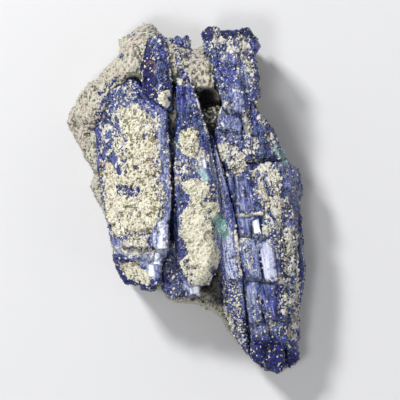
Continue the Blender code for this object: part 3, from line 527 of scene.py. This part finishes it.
def fine_copy(node, voxel):
    """A CAD node's mesh rebuilt from small even faces, and larger ones where it is hidden."""
    piece = new_object(f"{node}_detail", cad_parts[node].data.copy())
    applied(piece, "REMESH", mode="VOXEL", voxel_size=voxel * MM)
    lean_walls(piece.data, node)
    hidden = hidden_points(piece.data, node)
    set_values(piece.data, {"hidden": hidden})
    group = piece.vertex_groups.new(name="hidden")
    group.add(np.flatnonzero(hidden).tolist(), 1.0, "REPLACE")
    share = float(hidden.mean())
    applied(piece, "DECIMATE", ratio=1 - HIDDEN_CUT * share, vertex_group="hidden")
    piece.vertex_groups.clear()
    piece.data.name = piece.name
    piece.data.materials.clear()
    return piece


def finished(piece, material, smooth=True):
    """Gives a piece its material, its smooth or flat shading and its place on the frame."""
    piece.data.materials.append(material)
    piece.data.polygons.foreach_set("use_smooth", [smooth] * len(piece.data.polygons))
    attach(piece, "root")


def along_lean(points, degrees):
    """Points turned so that Y runs along a crystal's length."""
    turn = math.radians(degrees)
    across = points[:, 0] * math.cos(turn) + points[:, 1] * math.sin(turn)
    along = points[:, 1] * math.cos(turn) - points[:, 0] * math.sin(turn)
    return np.stack([across, along, points[:, 2]], axis=1)


# ---- Surfaces ----


def polished(points, normals):
    """Where the glaring faces are, and how far up each point moves to lie flat in its face."""
    glare = np.zeros(len(points))
    rise = np.zeros(len(points))
    slope = np.array(MIRROR_SLOPE)
    ragged = 0.22 * smooth_noise(points, 0.8, 31)
    for x0, y0, x1, y1, reach, strength in GLARE:
        start, end = at(x0, y0), at(x1, y1)
        length = np.linalg.norm(end - start)
        along = (points[:, :2] - (start + end) / 2) @ (end - start) / length
        side = distance_to(points, x0, y0, x1, y1)
        distance = np.maximum(side, np.abs(along) - length / 2 + reach) + ragged
        inside = (distance < reach) & (normals[:, 2] > 0.7)
        if not inside.any():
            continue
        middle = points[inside].mean(axis=0)
        face = middle[2] + (points[:, :2] - middle[:2]) @ slope
        near = np.abs(points[:, 2] - face) < 2.0
        amount = (1 - ramp(distance, 0.90 * reach, 1.10 * reach)) * near * (normals[:, 2] > 0.3)
        amount *= strength
        rise += (face - points[:, 2]) * amount * (1 - ramp(glare, 0, 1))
        glare = np.maximum(glare, amount)
    return glare, rise


def azurite_relief(points, normals, node, seed):
    """How far the face of a crystal moves, and the values that its material reads. Terraces
    and striations fade where its faces are grainy."""
    lean, graininess = CRYSTALS[node]
    turned = along_lean(points, lean)
    coarse = np.maximum(graininess, spread(points, GRAINY))
    coarse = np.clip(coarse + 0.35 * fractal(points, 9.0, seed + 3, 2), 0.05, 1.0)
    side = 1 - ramp(np.abs(normals[:, 2]), 0.25, 0.65)
    coarse = coarse * (1 - 0.55 * side)
    terraces = fractal(turned, TERRACE, seed, 2)
    steps = np.floor(terraces * 5.0) / 5.0
    striation = smooth_noise(turned, STRIATION, seed + 20)
    fine = smooth_noise(turned, HAIRLINE, seed + 25)
    nearest, label = cells_of(turned, SMALL_CRYSTAL, seed + 60)
    grain = (0.4 + 0.6 * label) * np.clip(1 - (nearest / 0.8) ** 2, 0, 1) - 0.45
    rough = fractal(points, 1.1, seed + 30, 2)
    pits = ramp(fractal(points, 2.0, seed + 40, 2), 0.45, 0.75)
    wander = (0.15 + 0.45 * coarse) * fractal(points, 5.0, seed + 50, 2)
    smooth_move = (0.40 + 0.75 * side) * steps + 0.15 * striation + 0.08 * fine
    grainy_move = 0.50 * grain + 0.16 * rough
    move = (1 - 0.6 * coarse) * smooth_move + coarse * grainy_move + wander - 0.5 * pits
    # The values include masks for painted shade, for a painted sheen and for painted shade in the pits.
    values = {
        "pit": pits, "coarse": coarse, "across": turned[:, 0], "along": turned[:, 1],
        "deep": marked(points, normals, DEEP), "painted_shade": marked(points, normals, SHADE_STROKES),
        "pale": marked(points, normals, SHEEN_STROKES), "tint": label,
    }
    return move, values


def cream_relief(points, seed, grain, depth, pit_size=2.3, octaves=2):
    """How far a granular surface moves: bent, rice-like grains, slits between them and pits."""
    bent = warped(points, 0.40 * grain, 1.4 * grain, seed + 50)
    nearest, label = cells_of(bent, RICE * grain, seed)
    small, _ = cells_of(bent, 0.5 * grain, seed + 5)
    domes = np.clip(1.0 - (nearest / 0.78) ** 2, 0, 1)
    small_domes = np.clip(1.0 - (small / 0.75) ** 2, 0, 1)
    slits = ramp(smooth_noise(bent, np.array((0.6, 1.2, 0.8)) * grain, seed + 9), 0.22, 0.48)
    pits = ramp(fractal(points, pit_size, seed + 11, octaves), 0.36, 0.58)
    lumps = fractal(points, 5.0 * grain, seed + 13, 2)
    height = (0.55 + 0.45 * label) * domes + 0.3 * small_domes - 0.5
    move = depth * (height + 0.4 * lumps - 0.9 * slits - 1.2 * pits)
    # The hollow value is painted shade: how dark the colour gets in the pits, the slits and between the
    # grains.
    hollow = np.clip(0.8 * pits + 0.85 * slits + 0.7 * ramp(nearest, 0.52, 0.9), 0, 1)
    return move, {"hollow": hollow, "tint": label}


def grains_by_share(points, share, size, seed):
    """1 where a grain of a mixed surface is of the second kind, which share of them are."""
    bent = warped(points, 0.35 * size, 0.9 * size, seed + 60)
    nearest, label = cells_of(bent, np.array((0.8, 1.2, 1.0)) * size, seed)
    small, small_label = cells_of(bent, 0.5 * size, seed + 31)
    filled = 0.52 + 0.5 * share
    chosen = ramp(share - label, -0.02, 0.02) * ramp(filled - nearest, 0.0, 0.12)
    sprinkled = ramp(0.45 * share - small_label, -0.02, 0.02) * ramp(filled - small, 0.0, 0.12)
    return np.maximum(chosen, sprinkled)


def cream_share(points, node):
    """The share of cream grains on a crystal, few of them where a crust has a gap."""
    covered = 1 - 0.8 * np.minimum(spread(points, WINDOWS), 1.0)
    return spread(points, CREAM_ON_AZURITE[node]) * covered


def azurite_piece(node, seed, material):
    """A crystal: terraced, striated or grainy, with cream grains over part of it."""
    piece = fine_copy(node, AZURITE_VOXEL)
    points, normals = points_of(piece.data)
    blue_move, values = azurite_relief(points, normals, node, seed)
    glare, rise = polished(points, normals)
    upward = ramp(normals[:, 2], -0.1, 0.5)
    share = cream_share(points, node) * upward
    clusters = ramp(fractal(points, 2.6, seed + 70, 2), -0.5, 0.7)
    patchy = fractal(points, 7.0, seed + 75, 2)
    root = 1 - ramp(points[:, 2], 6.0, 20.0)
    sides = (0.04 + 0.30 * ramp(patchy, 0.1, 0.6) + 0.30 * root) * (1 - upward)
    share = np.maximum(share * (0.35 + 1.1 * clusters), sides) * (1 - glare)
    cream = grains_by_share(points, share, MIXED_GRAIN, seed + 80)
    cream_move, cream_values = cream_relief(points, seed + 90, 0.85, 0.30)
    move = (1 - cream) * blue_move + cream * (0.35 * blue_move + 0.24 + cream_move)
    move *= (1 - glare) * (1 - value_of(piece.data, "hidden"))
    points += normals * (PROUD + move)[:, None]
    points[:, 2] += rise
    set_points(piece.data, points)
    # The cream grains' painted shade in their hollows.
    values.update(hollow=cream_values["hollow"], cream=cream, glare=glare)
    values.update(green=marked(points, normals, GREEN), rust=marked(points, normals, RUST))
    set_values(piece.data, values)
    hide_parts(node)
    finished(piece, material)
    return piece


def rock_surface(points, normals, seed):
    """How far the rock's surface moves, and its values. Its foot stays flat on the floor."""
    move, values = cream_relief(points, seed, *GRAIN["host_rock"], 1.2, 3)
    move += 0.55 * fractal(points, 8.0, seed + 20, 3)
    # Less painted shade in the hollows of the walls than in those of the faces that look up.
    values["hollow"] *= 0.6 + 0.4 * ramp(normals[:, 2], 0.0, 0.5)
    return (move + PROUD) * ramp(points[:, 2], 0.3, 2.0), values


def crust_surface(points, normals, seed, grain, depth):
    """How far a crust's surface moves, its values and how far its underside sinks. The
    underside goes down with the gaps, so that the crystal shows in them."""
    move, values = cream_relief(points, seed, grain, depth)
    thin = ramp(fractal(points, 3.0, seed + 60, 3), 0.34, 0.62)
    gap = np.maximum(1.6 * thin, WINDOW_DEPTH * spread(points, WINDOWS))
    move -= gap * ramp(normals[:, 2], 0.0, 0.4)
    return move, values, (gap + UNDERSIDE_DROP) * ramp(-normals[:, 2], 0.0, 0.4)


def cream_piece(node, seed, material, voxel):
    """A crust, malachite or the rock: granular, with azurite grains over part of it."""
    piece = fine_copy(node, voxel)
    points, normals = points_of(piece.data)
    share = marked(points, normals, BLUE_ON_CREAM)
    green = marked(points, normals, GREEN)
    sink = 0.0
    if node == "host_rock":
        move, values = rock_surface(points, normals, seed)
    elif node.startswith("crust_"):
        size = GRAIN.get(node, GRAIN["crust"])
        move, values, sink = crust_surface(points, normals, seed, *size)
        share = np.maximum(share, 0.012)
    else:
        move, values, sink = crust_surface(points, normals, seed, *GRAIN["malachite"])
        below = points[:, 2].max() - points[:, 2]
        share = np.maximum(share, 0.95 * ramp(below + 0.8 * fractal(points, 3.0, 5, 2), 3.6, 6.6))
        green *= 0.5
    # Each crust's painted shade in its hollows, and its dull grains, darker or lighter.
    for name in ("hollow", "tint"):
        values[name] *= GAP_DARKNESS.get(node, 1.0)
    blue = grains_by_share(points, share, MIXED_GRAIN, seed + 80)
    move = (move - 0.25 * blue) * (1 - value_of(piece.data, "hidden"))
    moved = points + normals * move[:, None]
    moved[:, 2] -= sink
    set_points(piece.data, moved)
    # Painted shade in the rock's deep hollows and clefts.
    dark = spread(points, HOLLOW_SHADE_STROKES) if node == "host_rock" else 0.0
    values.update(cream=1 - blue, deep=0.5 * blue, soot=dark, cool=COOLNESS.get(node, 0.0))
    values.update(across=points[:, 0], along=points[:, 1])
    values.update(green=green, rust=marked(points, normals, RUST))
    set_values(piece.data, values)
    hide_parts(node)
    finished(piece, material)
    return piece


# ---- Crumbs ----


def outward(points, faces):
    """The faces, each turned so that it looks away from the middle."""
    turned = []
    for a, b, c in faces:
        facing = np.cross(points[b] - points[a], points[c] - points[a]) @ points[a]
        turned.append((a, b, c) if facing > 0 else (a, c, b))
    return np.array(turned)


def lump():
    """An icosahedron's points and faces: its faces are the threes of points that are close."""
    long = (1 + math.sqrt(5)) / 2
    points = []
    for a in (-1, 1):
        for b in (-long, long):
            points += [(a, b, 0), (0, a, b), (b, 0, a)]
    points = np.array(points) / math.hypot(1, long)
    edge = 2 / math.hypot(1, long) * 1.05
    close = np.linalg.norm(points[:, None] - points[None], axis=2) < edge
    threes = combinations(range(len(points)), 3)
    faces = [(a, b, c) for a, b, c in threes if close[a, b] and close[b, c] and close[c, a]]
    return points, outward(points, faces)


def chip():
    """An octahedron's points and faces, for the smallest crumbs."""
    points = np.concatenate([np.eye(3), -np.eye(3)])
    return points, outward(points, product((0, 3), (1, 4), (2, 5)))


LUMP = lump()
CHIP = chip()


def turns(count, rng):
    """Random rotations, as matrices."""
    spin = rng.normal(size=(count, 4))
    w, x, y, z = (spin / np.linalg.norm(spin, axis=1, keepdims=True)).T
    rows = (
        (1 - 2 * (y * y + z * z), 2 * (x * y - z * w), 2 * (x * z + y * w)),
        (2 * (x * y + z * w), 1 - 2 * (x * x + z * z), 2 * (y * z - x * w)),
        (2 * (x * z - y * w), 2 * (y * z + x * w), 1 - 2 * (x * x + y * y)),
    )
    return np.moveaxis(np.array(rows), 2, 0)


def places_on(carriers, share_of, count, rng):
    """Random places on the pieces, more of them where share_of(points, normals) is high."""
    corners = []
    for piece in carriers:
        mesh = piece.data
        mesh.calc_loop_triangles()
        index = np.empty(3 * len(mesh.loop_triangles), np.int32)
        mesh.loop_triangles.foreach_get("vertices", index)
        points, _ = points_of(mesh)
        corners.append(points[index.reshape(-1, 3)])
    corners = np.concatenate(corners)
    cross = np.cross(corners[:, 1] - corners[:, 0], corners[:, 2] - corners[:, 0])
    area = np.linalg.norm(cross, axis=1)
    normals = cross / np.maximum(area, 1e-12)[:, None]
    weight = area * share_of(corners.mean(axis=1), normals)
    chosen = rng.choice(len(area), count, p=weight / weight.sum())
    u, v = rng.random((2, count))
    flip = u + v > 1
    u, v = np.where(flip, 1 - u, u), np.where(flip, 1 - v, v)
    a, b, c = corners[chosen].transpose(1, 0, 2)
    return a + (b - a) * u[:, None] + (c - a) * v[:, None], normals[chosen]


def triangle_mesh(name, points, faces):
    """A mesh of triangles."""
    mesh = bpy.data.meshes.new(name)
    mesh.vertices.add(len(points))
    mesh.loops.add(3 * len(faces))
    mesh.polygons.add(len(faces))
    mesh.loops.foreach_set("vertex_index", faces.astype(np.int32).ravel())
    mesh.polygons.foreach_set("loop_start", np.arange(0, 3 * len(faces), 3, dtype=np.int32))
    set_points(mesh, points)
    return mesh


def crumbs(name, carriers, share_of, scatter, material, slot, local=(), **values):
    """Angular crumbs, joined in one mesh and partly sunk into what carries them. scatter is
    how many, their least and greatest size, and the seed. local gives values that differ from
    place to place, as pairs of a name and a function."""
    count, (low, high), seed = scatter
    rng = np.random.default_rng(seed)
    places, normals = places_on(carriers, share_of, count, rng)
    radius = 0.5 * (low + (high - low) * rng.random(count) ** 2.2)
    centres = places + normals * (0.35 * radius)[:, None]
    centres[:, 2] = np.maximum(centres[:, 2], 1.5 * radius)
    stretch = rng.uniform(0.7, 1.3, (count, 3)) * radius[:, None]
    spin = turns(count, rng)
    shades = rng.random(count)
    all_points, all_faces, owners = [], [], []
    start = 0
    small = 2 * radius < CHIP_SIZE
    for (corners, faces), chosen in ((CHIP, small), (LUMP, ~small)):
        which = np.flatnonzero(chosen)
        jitter = 1 + 0.14 * rng.uniform(-1, 1, (len(which), len(corners), 1))
        shapes = corners[None] * jitter * stretch[which][:, None, :]
        shapes = np.einsum("nij,nkj->nki", spin[which], shapes) + centres[which][:, None, :]
        firsts = start + len(corners) * np.arange(len(which))
        all_points.append(shapes.reshape(-1, 3))
        all_faces.append((faces[None] + firsts[:, None, None]).reshape(-1, 3))
        owners.append(np.repeat(which, len(corners)))
        start += len(corners) * len(which)
    points = np.concatenate(all_points)
    owner = np.concatenate(owners)
    mesh = triangle_mesh(name, points, np.concatenate(all_faces))
    set_values(mesh, {"tint": shades[owner], "across": points[:, 0], "along": points[:, 1]})
    set_values(mesh, {key: value_at(centres, normals)[owner] for key, value_at in local})
    set_values(mesh, values)
    mesh.validate()
    finished(new_object(name, mesh), material, smooth=False)


def on_azurite(node):
    """Where cream crumbs lie on a crystal: in clusters, and a few all over."""
    def share(points, normals):
        clear = 1 - polished(points, normals)[0]
        wanted = cream_share(points, node) ** 1.3
        clusters = ramp(fractal(points, 2.6, 900, 2), -0.3, 0.7)
        return (0.012 + wanted * clusters) * facing_up(points, normals) * clear + 0.008
    return share


def on_coarse(node):
    """Where azurite grains stand on a crystal: on its grainy faces, fewer on its walls."""
    def share(points, normals):
        clear = 1 - polished(points, normals)[0]
        coarse = np.maximum(CRYSTALS[node][1] ** 1.5, spread(points, GRAINY))
        return coarse * (0.4 + 0.6 * facing_up(points, normals)) * clear
    return share


def crystal_crumbs(crystals, azurite):
    """Cream crumbs and azurite grains on each crystal."""
    # The painted shade and the painted sheen carry over to the azurite grains.
    local = (("painted_shade", lambda p, n: marked(p, n, SHADE_STROKES)), ("pale", lambda p, n: marked(p, n, SHEEN_STROKES)))
    for number, (node, piece) in enumerate(crystals.items()):
        low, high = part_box(node)
        count = int(CRUMB_DENSITY * (high.x - low.x) * (high.y - low.y) / MM**2)
        crumbs(f"{node}_crumbs", [piece], on_azurite(node), (count, CRUMB_SIZES, 40 + number),
               azurite, "azurite", cream=1)
        count = int(GRAINS_PER_CRUMB * CRYSTALS[node][1] * count)
        crumbs(f"{node}_grains", [piece], on_coarse(node), (count, GRAIN_SIZES, 80 + number),
               azurite, "azurite", local, cream=0, coarse=1)


def loose_crumbs(crusts, malachite, host, azurite, cream, rock, green):
    """Crumbs on the crusts, the rock and the malachite, and in the dark hollow."""
    def add(name, carriers, share_of, material, slot, local=(), **values):
        crumbs(name, carriers, share_of, LOOSE[name], material, slot, local, **values)

    def off_floor(points):
        return points[:, 2] > 1.0

    def on_rock(points, normals):
        return (0.15 + facing_up(points, normals)) * off_floor(points)

    def in_cavity(points, _):
        return spread(points, CAVITY_CRUMBS) + 1e-9

    def blue_on_cream(points, normals):
        return (marked(points, normals, BLUE_ON_CREAM) + 0.006) * off_floor(points)

    # The rock crumbs that lie in the hollows get the same painted shade.
    soot = (("soot", lambda p, n: spread(p, HOLLOW_SHADE_STROKES)),)
    fine_crust = crusts.pop(FINE_CRUST)
    coarse_crusts = list(crusts.values())
    add("fine_crust_crumbs", [fine_crust], facing_up, cream, "cream_crust", cream=1)
    add("crust_crumbs", coarse_crusts, facing_up, cream, "cream_crust", cream=1)
    add("rock_crumbs", [host], on_rock, rock, "host_rock", soot, cream=1)
    add("cavity_crumbs", [host], in_cavity, cream, "host_rock", cream=1)
    add("azurite_crumbs", [host, fine_crust, *coarse_crusts], blue_on_cream, azurite,
        "azurite", cream=0, deep=0.6)
    add("malachite_crumbs", malachite, facing_up, green, "malachite", cream=1)


# ---- Materials ----


class Nodes:
    """A short way to build a material's node tree."""

    def __init__(self, name):
        self.material = bpy.data.materials.new(name)
        self.material.use_nodes = True
        self.tree = self.material.node_tree
        self.shader = self.tree.nodes["Principled BSDF"]

    def fill(self, node, sources):
        """Puts a number, a colour or another node's output into each of a node's sockets."""
        for key, source in sources.items():
            if isinstance(source, bpy.types.NodeSocket):
                self.tree.links.new(source, node.inputs[key])
            else:
                colour = isinstance(source, tuple)
                node.inputs[key].default_value = (*source, 1.0) if colour else source

    def add(self, kind, sources=None, **settings):
        node = self.tree.nodes.new("ShaderNode" + kind)
        for key, value in settings.items():
            setattr(node, key, value)
        self.fill(node, sources or {})
        return node

    def value(self, name):
        return self.add("Attribute", attribute_name=name).outputs["Fac"]

    def place(self):
        return self.add("TexCoord").outputs["Object"]

    def height(self):
        return self.add("SeparateXYZ", {0: self.place()}).outputs["Z"]

    def math(self, operation, first, second=0.0, third=0.0):
        sources = {0: first, 1: second, 2: third}
        return self.add("Math", sources, operation=operation).outputs[0]

    def times(self, first, second):
        return self.math("MULTIPLY", first, second)

    def times_plus(self, first, second, third):
        return self.math("MULTIPLY_ADD", first, second, third)

    def noise(self, vector, per_mm, detail=3.0, roughness=0.55):
        """Noise with about that many lumps to the millimetre, from 0 to 1."""
        sources = {"Scale": per_mm / MM, "Detail": detail, "Roughness": roughness, "Vector": vector}
        return self.add("TexNoise", sources).outputs["Fac"]

    def between(self, source, low, high):
        """0 below low, 1 above high."""
        sources = {"From Min": low, "From Max": high, "Value": source}
        return self.add("MapRange", sources, interpolation_type="SMOOTHSTEP").outputs["Result"]

    def mix(self, factor, first, second):
        """A colour between two colours or colour sockets."""
        sources = {0: factor, 6: first, 7: second}
        return self.add("Mix", sources, data_type="RGBA").outputs[2]

    def over(self, colour, where, strength, other):
        """Another colour over this one, where a socket or a named value says so."""
        if isinstance(where, str):
            where = self.value(where)
        return self.mix(self.times(where, strength), colour, other)

    def bump(self, height, distance, strength, **below):
        sources = {"Distance": distance * MM, "Strength": strength, "Height": height, **below}
        return self.add("Bump", sources).outputs["Normal"]


def azurite_colour(nodes, place, lines, dust_and_glints):
    """Deep blue, paler along its striations and on its grains; a pale speckle that is partly dusting and
    partly painted glints; painted shade in shaded places and pits, a painted sheen on pale faces and a
    painted highlight on glaring faces.
    """
    coarse = nodes.value("coarse")
    tone = nodes.times(nodes.noise(place, 0.7, 5.0, 0.75), 0.65)
    tone = nodes.times_plus(nodes.value("tint"), 0.35, tone)
    tone = nodes.between(tone, 0.36, 0.64)
    steel = nodes.between(nodes.noise(place, 0.16, 2.0), 0.42, 0.58)
    royal = nodes.mix(tone, *ROYAL)
    slate = nodes.mix(tone, *SLATE)
    blue = nodes.mix(steel, royal, slate)
    clear = nodes.times_plus(coarse, -0.6, 0.95)
    striped = nodes.times(nodes.between(lines, 0.52, 0.65), clear)
    blue = nodes.mix(striped, blue, STRIATED)
    # Pale dusting, partly painted glints.
    blue = nodes.over(blue, dust_and_glints, 0.75, DUST_AND_GLINTS)
    # Painted shade on the faces that lie in shade.
    blue = nodes.over(blue, "painted_shade", 0.88, PAINTED_SHADE_BLUE)
    spotty = nodes.between(nodes.noise(place, 1.3, 2.0), 0.53, 0.66)
    deep = nodes.times(nodes.value("deep"), spotty)
    spots = nodes.times(coarse, nodes.between(nodes.noise(place, 0.9), 0.66, 0.74))
    blue = nodes.mix(nodes.math("MAXIMUM", deep, spots), blue, VIVID)
    # A painted sheen, pale and streaky, where the faces catch a sheen of light.
    mottle = nodes.times(nodes.noise(place, 1.6, 3.0, 0.7), 0.5)
    streaks = nodes.times_plus(lines, 0.5, mottle)
    sheen_colour = nodes.mix(nodes.between(streaks, 0.45, 0.56), *PAINTED_SHEEN)
    blue = nodes.mix(nodes.value("pale"), blue, sheen_colour)
    # A painted highlight on the glaring faces, streaky.
    glare_colour = nodes.mix(nodes.between(lines, 0.44, 0.58), *PAINTED_GLARE)
    blue = nodes.over(blue, "glare", 0.8, glare_colour)
    # Painted shade in the pits.
    return nodes.over(blue, "pit", 0.7, PIT_SHADE)


def cream_colour(nodes, place, grain, light, warm, dark):
    """Cream grains, here and there mossy, cool or stained, some dull, with painted shade in brown
    between them and in their hollows.
    """
    colour = nodes.mix(nodes.between(nodes.noise(place, 0.22, 3.0), 0.40, 0.60), light, warm)
    mossy = nodes.between(nodes.noise(place, 0.14, 2.0), 0.52, 0.64)
    colour = nodes.over(colour, mossy, 0.32, MOSSY_CREAM)
    colour = nodes.over(colour, "cool", 0.8, COOL_CREAM)
    stained = nodes.between(nodes.noise(place, 0.9, 3.0), 0.60, 0.70)
    colour = nodes.over(colour, stained, 0.45, STAINED_CREAM)
    dull = nodes.between(nodes.value("tint"), 0.72, 0.98)
    colour = nodes.over(colour, dull, 0.5, dark)
    # Painted shade between the grains.
    gaps = nodes.between(grain, 0.54, 0.70)
    colour = nodes.over(colour, gaps, 0.8, dark)
    # Painted shade in the hollows.
    hollow = nodes.between(nodes.value("hollow"), 0.10, 0.90)
    return nodes.over(colour, hollow, 0.88, dark)


def striations(nodes):
    """Noise that is drawn out along the crystal."""
    drawn_out = 12.5
    across = nodes.times(nodes.value("across"), MM)
    along = nodes.times(nodes.value("along"), MM / drawn_out)
    stretched = nodes.add("CombineXYZ", {"X": across, "Y": along, "Z": nodes.height()})
    return nodes.noise(stretched.outputs[0], 1.2, 4.0, 0.6)


def gloss_and_bump(nodes, place, lines, dust_and_glints, creamy):
    """Dust and its painted glints, cream and places with painted shade are dull, and a glaring face is
    shiny and nearly smooth.
    """
    calm = nodes.math("SUBTRACT", 1.0, nodes.value("glare"))
    shine = nodes.times_plus(nodes.times(dust_and_glints, calm), 0.22, 0.32)
    shine = nodes.times_plus(nodes.value("glare"), -0.18, shine)
    brushed = nodes.times(nodes.between(lines, 0.52, 0.60), nodes.value("glare"))
    shine = nodes.times_plus(brushed, 0.12, shine)
    # Where shade is painted, the faces are also rougher, so that they reflect little.
    shine = nodes.math("MAXIMUM", shine, nodes.times(nodes.value("painted_shade"), 0.72))
    shine = nodes.math("MAXIMUM", shine, nodes.times(creamy, 0.92))
    striped = nodes.times(lines, calm)
    fine = nodes.times_plus(calm, 0.8, 0.2)
    fine = nodes.times(nodes.noise(place, 2.6, 4.0, 0.65), fine)
    normal = nodes.bump(fine, 0.12, 0.8, Normal=nodes.bump(striped, 0.14, 0.8))
    nodes.fill(nodes.shader, {"Roughness": shine, "Normal": normal})


def mixed_material(name, light, warm, dark):
    """Azurite and cream in one material; the piece's cream value says which is where."""
    nodes = Nodes(name)
    place = nodes.place()
    lines = striations(nodes)
    # The pale speckle is partly dusting and partly painted glints.
    speckle_noise = nodes.noise(place, 1.7, 3.0, 0.7)
    dust_and_glints = nodes.times_plus(nodes.value("coarse"), 0.03, speckle_noise)
    dust_and_glints = nodes.between(dust_and_glints, 0.585, 0.645)
    blue = azurite_colour(nodes, place, lines, dust_and_glints)
    grain = nodes.noise(place, 1.7, 5.0, 0.65)
    cream = cream_colour(nodes, place, grain, light, warm, dark)
    edge = nodes.times_plus(nodes.noise(place, 2.2, 3.0), 0.5, nodes.value("cream"))
    creamy = nodes.between(edge, 0.65, 0.80)
    colour = nodes.mix(creamy, blue, cream)
    verdigris = nodes.mix(nodes.between(speckle_noise, 0.42, 0.62), *VERDIGRIS)
    colour = nodes.over(colour, "green", 0.85, verdigris)
    colour = nodes.over(colour, "rust", 0.7, RUSTY)
    # Painted shade in the rock's hollows.
    colour = nodes.over(colour, "soot", 0.94, HOLLOW_SHADE_COLOUR)
    nodes.fill(nodes.shader, {"Base Color": colour, "IOR": STONE_IOR})
    nodes.fill(nodes.shader, {"Specular IOR Level": STONE_SPECULAR})
    gloss_and_bump(nodes, place, lines, dust_and_glints, creamy)
    return nodes.material


# ---- Stage ----


def backdrop():
    """A pale round floor whose rim curves up into a wall."""
    inner, flat, bend, top = 0.25, 1.9, 0.8, 2.6
    around, upward = 96, 12
    profile = [(inner, 0.0), (flat, 0.0)]
    for step in range(1, upward + 1):
        angle = math.radians(90 * step / upward)
        profile.append((flat + bend * math.sin(angle), bend * (1 - math.cos(angle))))
    profile.append((flat + bend, top))
    angles = [2 * math.pi * step / around for step in range(around)]
    points = [(0.0, 0.0, 0.0)]
    points += [(r * math.cos(a), r * math.sin(a), height) for r, height in profile for a in angles]
    faces = [(0, 1 + step, 1 + (step + 1) % around) for step in range(around)]
    for ring in range(len(profile) - 1):
        for step in range(around):
            low = 1 + ring * around
            after = (step + 1) % around
            faces.append((low + step, low + around + step, low + around + after, low + after))
    mesh = bpy.data.meshes.new("floor")
    mesh.from_pydata(points, [], faces)
    mesh.polygons.foreach_set("use_smooth", [True] * len(mesh.polygons))
    nodes = Nodes("floor")
    glow = nodes.times(nodes.between(nodes.height(), 0.0, 1.2), WALL_GLOW)
    nodes.fill(nodes.shader, {"Base Color": FLOOR_GREY, "Roughness": 0.85})
    nodes.fill(nodes.shader, {"Emission Color": STUDIO_WHITE, "Emission Strength": glow})
    mesh.materials.append(nodes.material)
    new_object("floor", mesh)


def camera():
    """Looks straight down on the specimen, which lies on its back."""
    data = bpy.data.cameras.new("camera")
    data.sensor_width = 36.0
    data.lens = data.sensor_width * CAMERA_DISTANCE / (PICTURE_SIDE * PICTURE_STEP)
    view = new_object("camera", data)
    x, y = at(PICTURE_SIDE / 2, PICTURE_SIDE / 2)
    view.location = (x * MM, y * MM, (CAMERA_DISTANCE + FACE_HEIGHT) * MM)
    bpy.context.scene.camera = view


def softbox(name, position, size, power):
    """A square area light that points at the specimen."""
    data = bpy.data.lights.new(name, "AREA")
    data.size = size
    data.energy = power
    light = new_object(name, data)
    light.location = position
    aim = Vector((0.0, 0.0, FACE_HEIGHT * MM)) - light.location
    light.rotation_euler = aim.to_track_quat("-Z", "Y").to_euler()


def lights():
    """The softboxes and a faint light all round."""
    for name, (position, size, power) in LIGHTS.items():
        softbox(name, position, size, power)
    world = bpy.data.worlds.new("studio")
    world.use_nodes = True
    sky = world.node_tree.nodes["Background"]
    sky.inputs["Color"].default_value = (*STUDIO_WHITE, 1.0)
    sky.inputs["Strength"].default_value = SKY
    bpy.context.scene.world = world
    bpy.context.scene.view_settings.view_transform = "Standard"


# ---- The whole ----


def main():
    """Dresses every solid, scatters the crumbs and sets the stage."""
    azurite, cream, rock, green = [
        mixed_material(f"{name}_detail", *tones) for name, tones in TONES.items()
    ]
    crystals = {node: azurite_piece(node, 100 + 40 * i, azurite) for i, node in enumerate(CRYSTALS)}
    crusts = {}
    malachite = []
    for number, node in enumerate(sorted(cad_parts)):
        seed = 700 + 40 * number
        if node.startswith("crust_"):
            crusts[node] = cream_piece(node, seed, cream, CRUST_VOXEL)
        if node.startswith("malachite_"):
            malachite.append(cream_piece(node, seed, green, CRUST_VOXEL))
    host = cream_piece("host_rock", 660, rock, ROCK_VOXEL)
    crystal_crumbs(crystals, azurite)
    loose_crumbs(crusts, malachite, host, azurite, cream, rock, green)
    backdrop()
    camera()
    lights()


main()
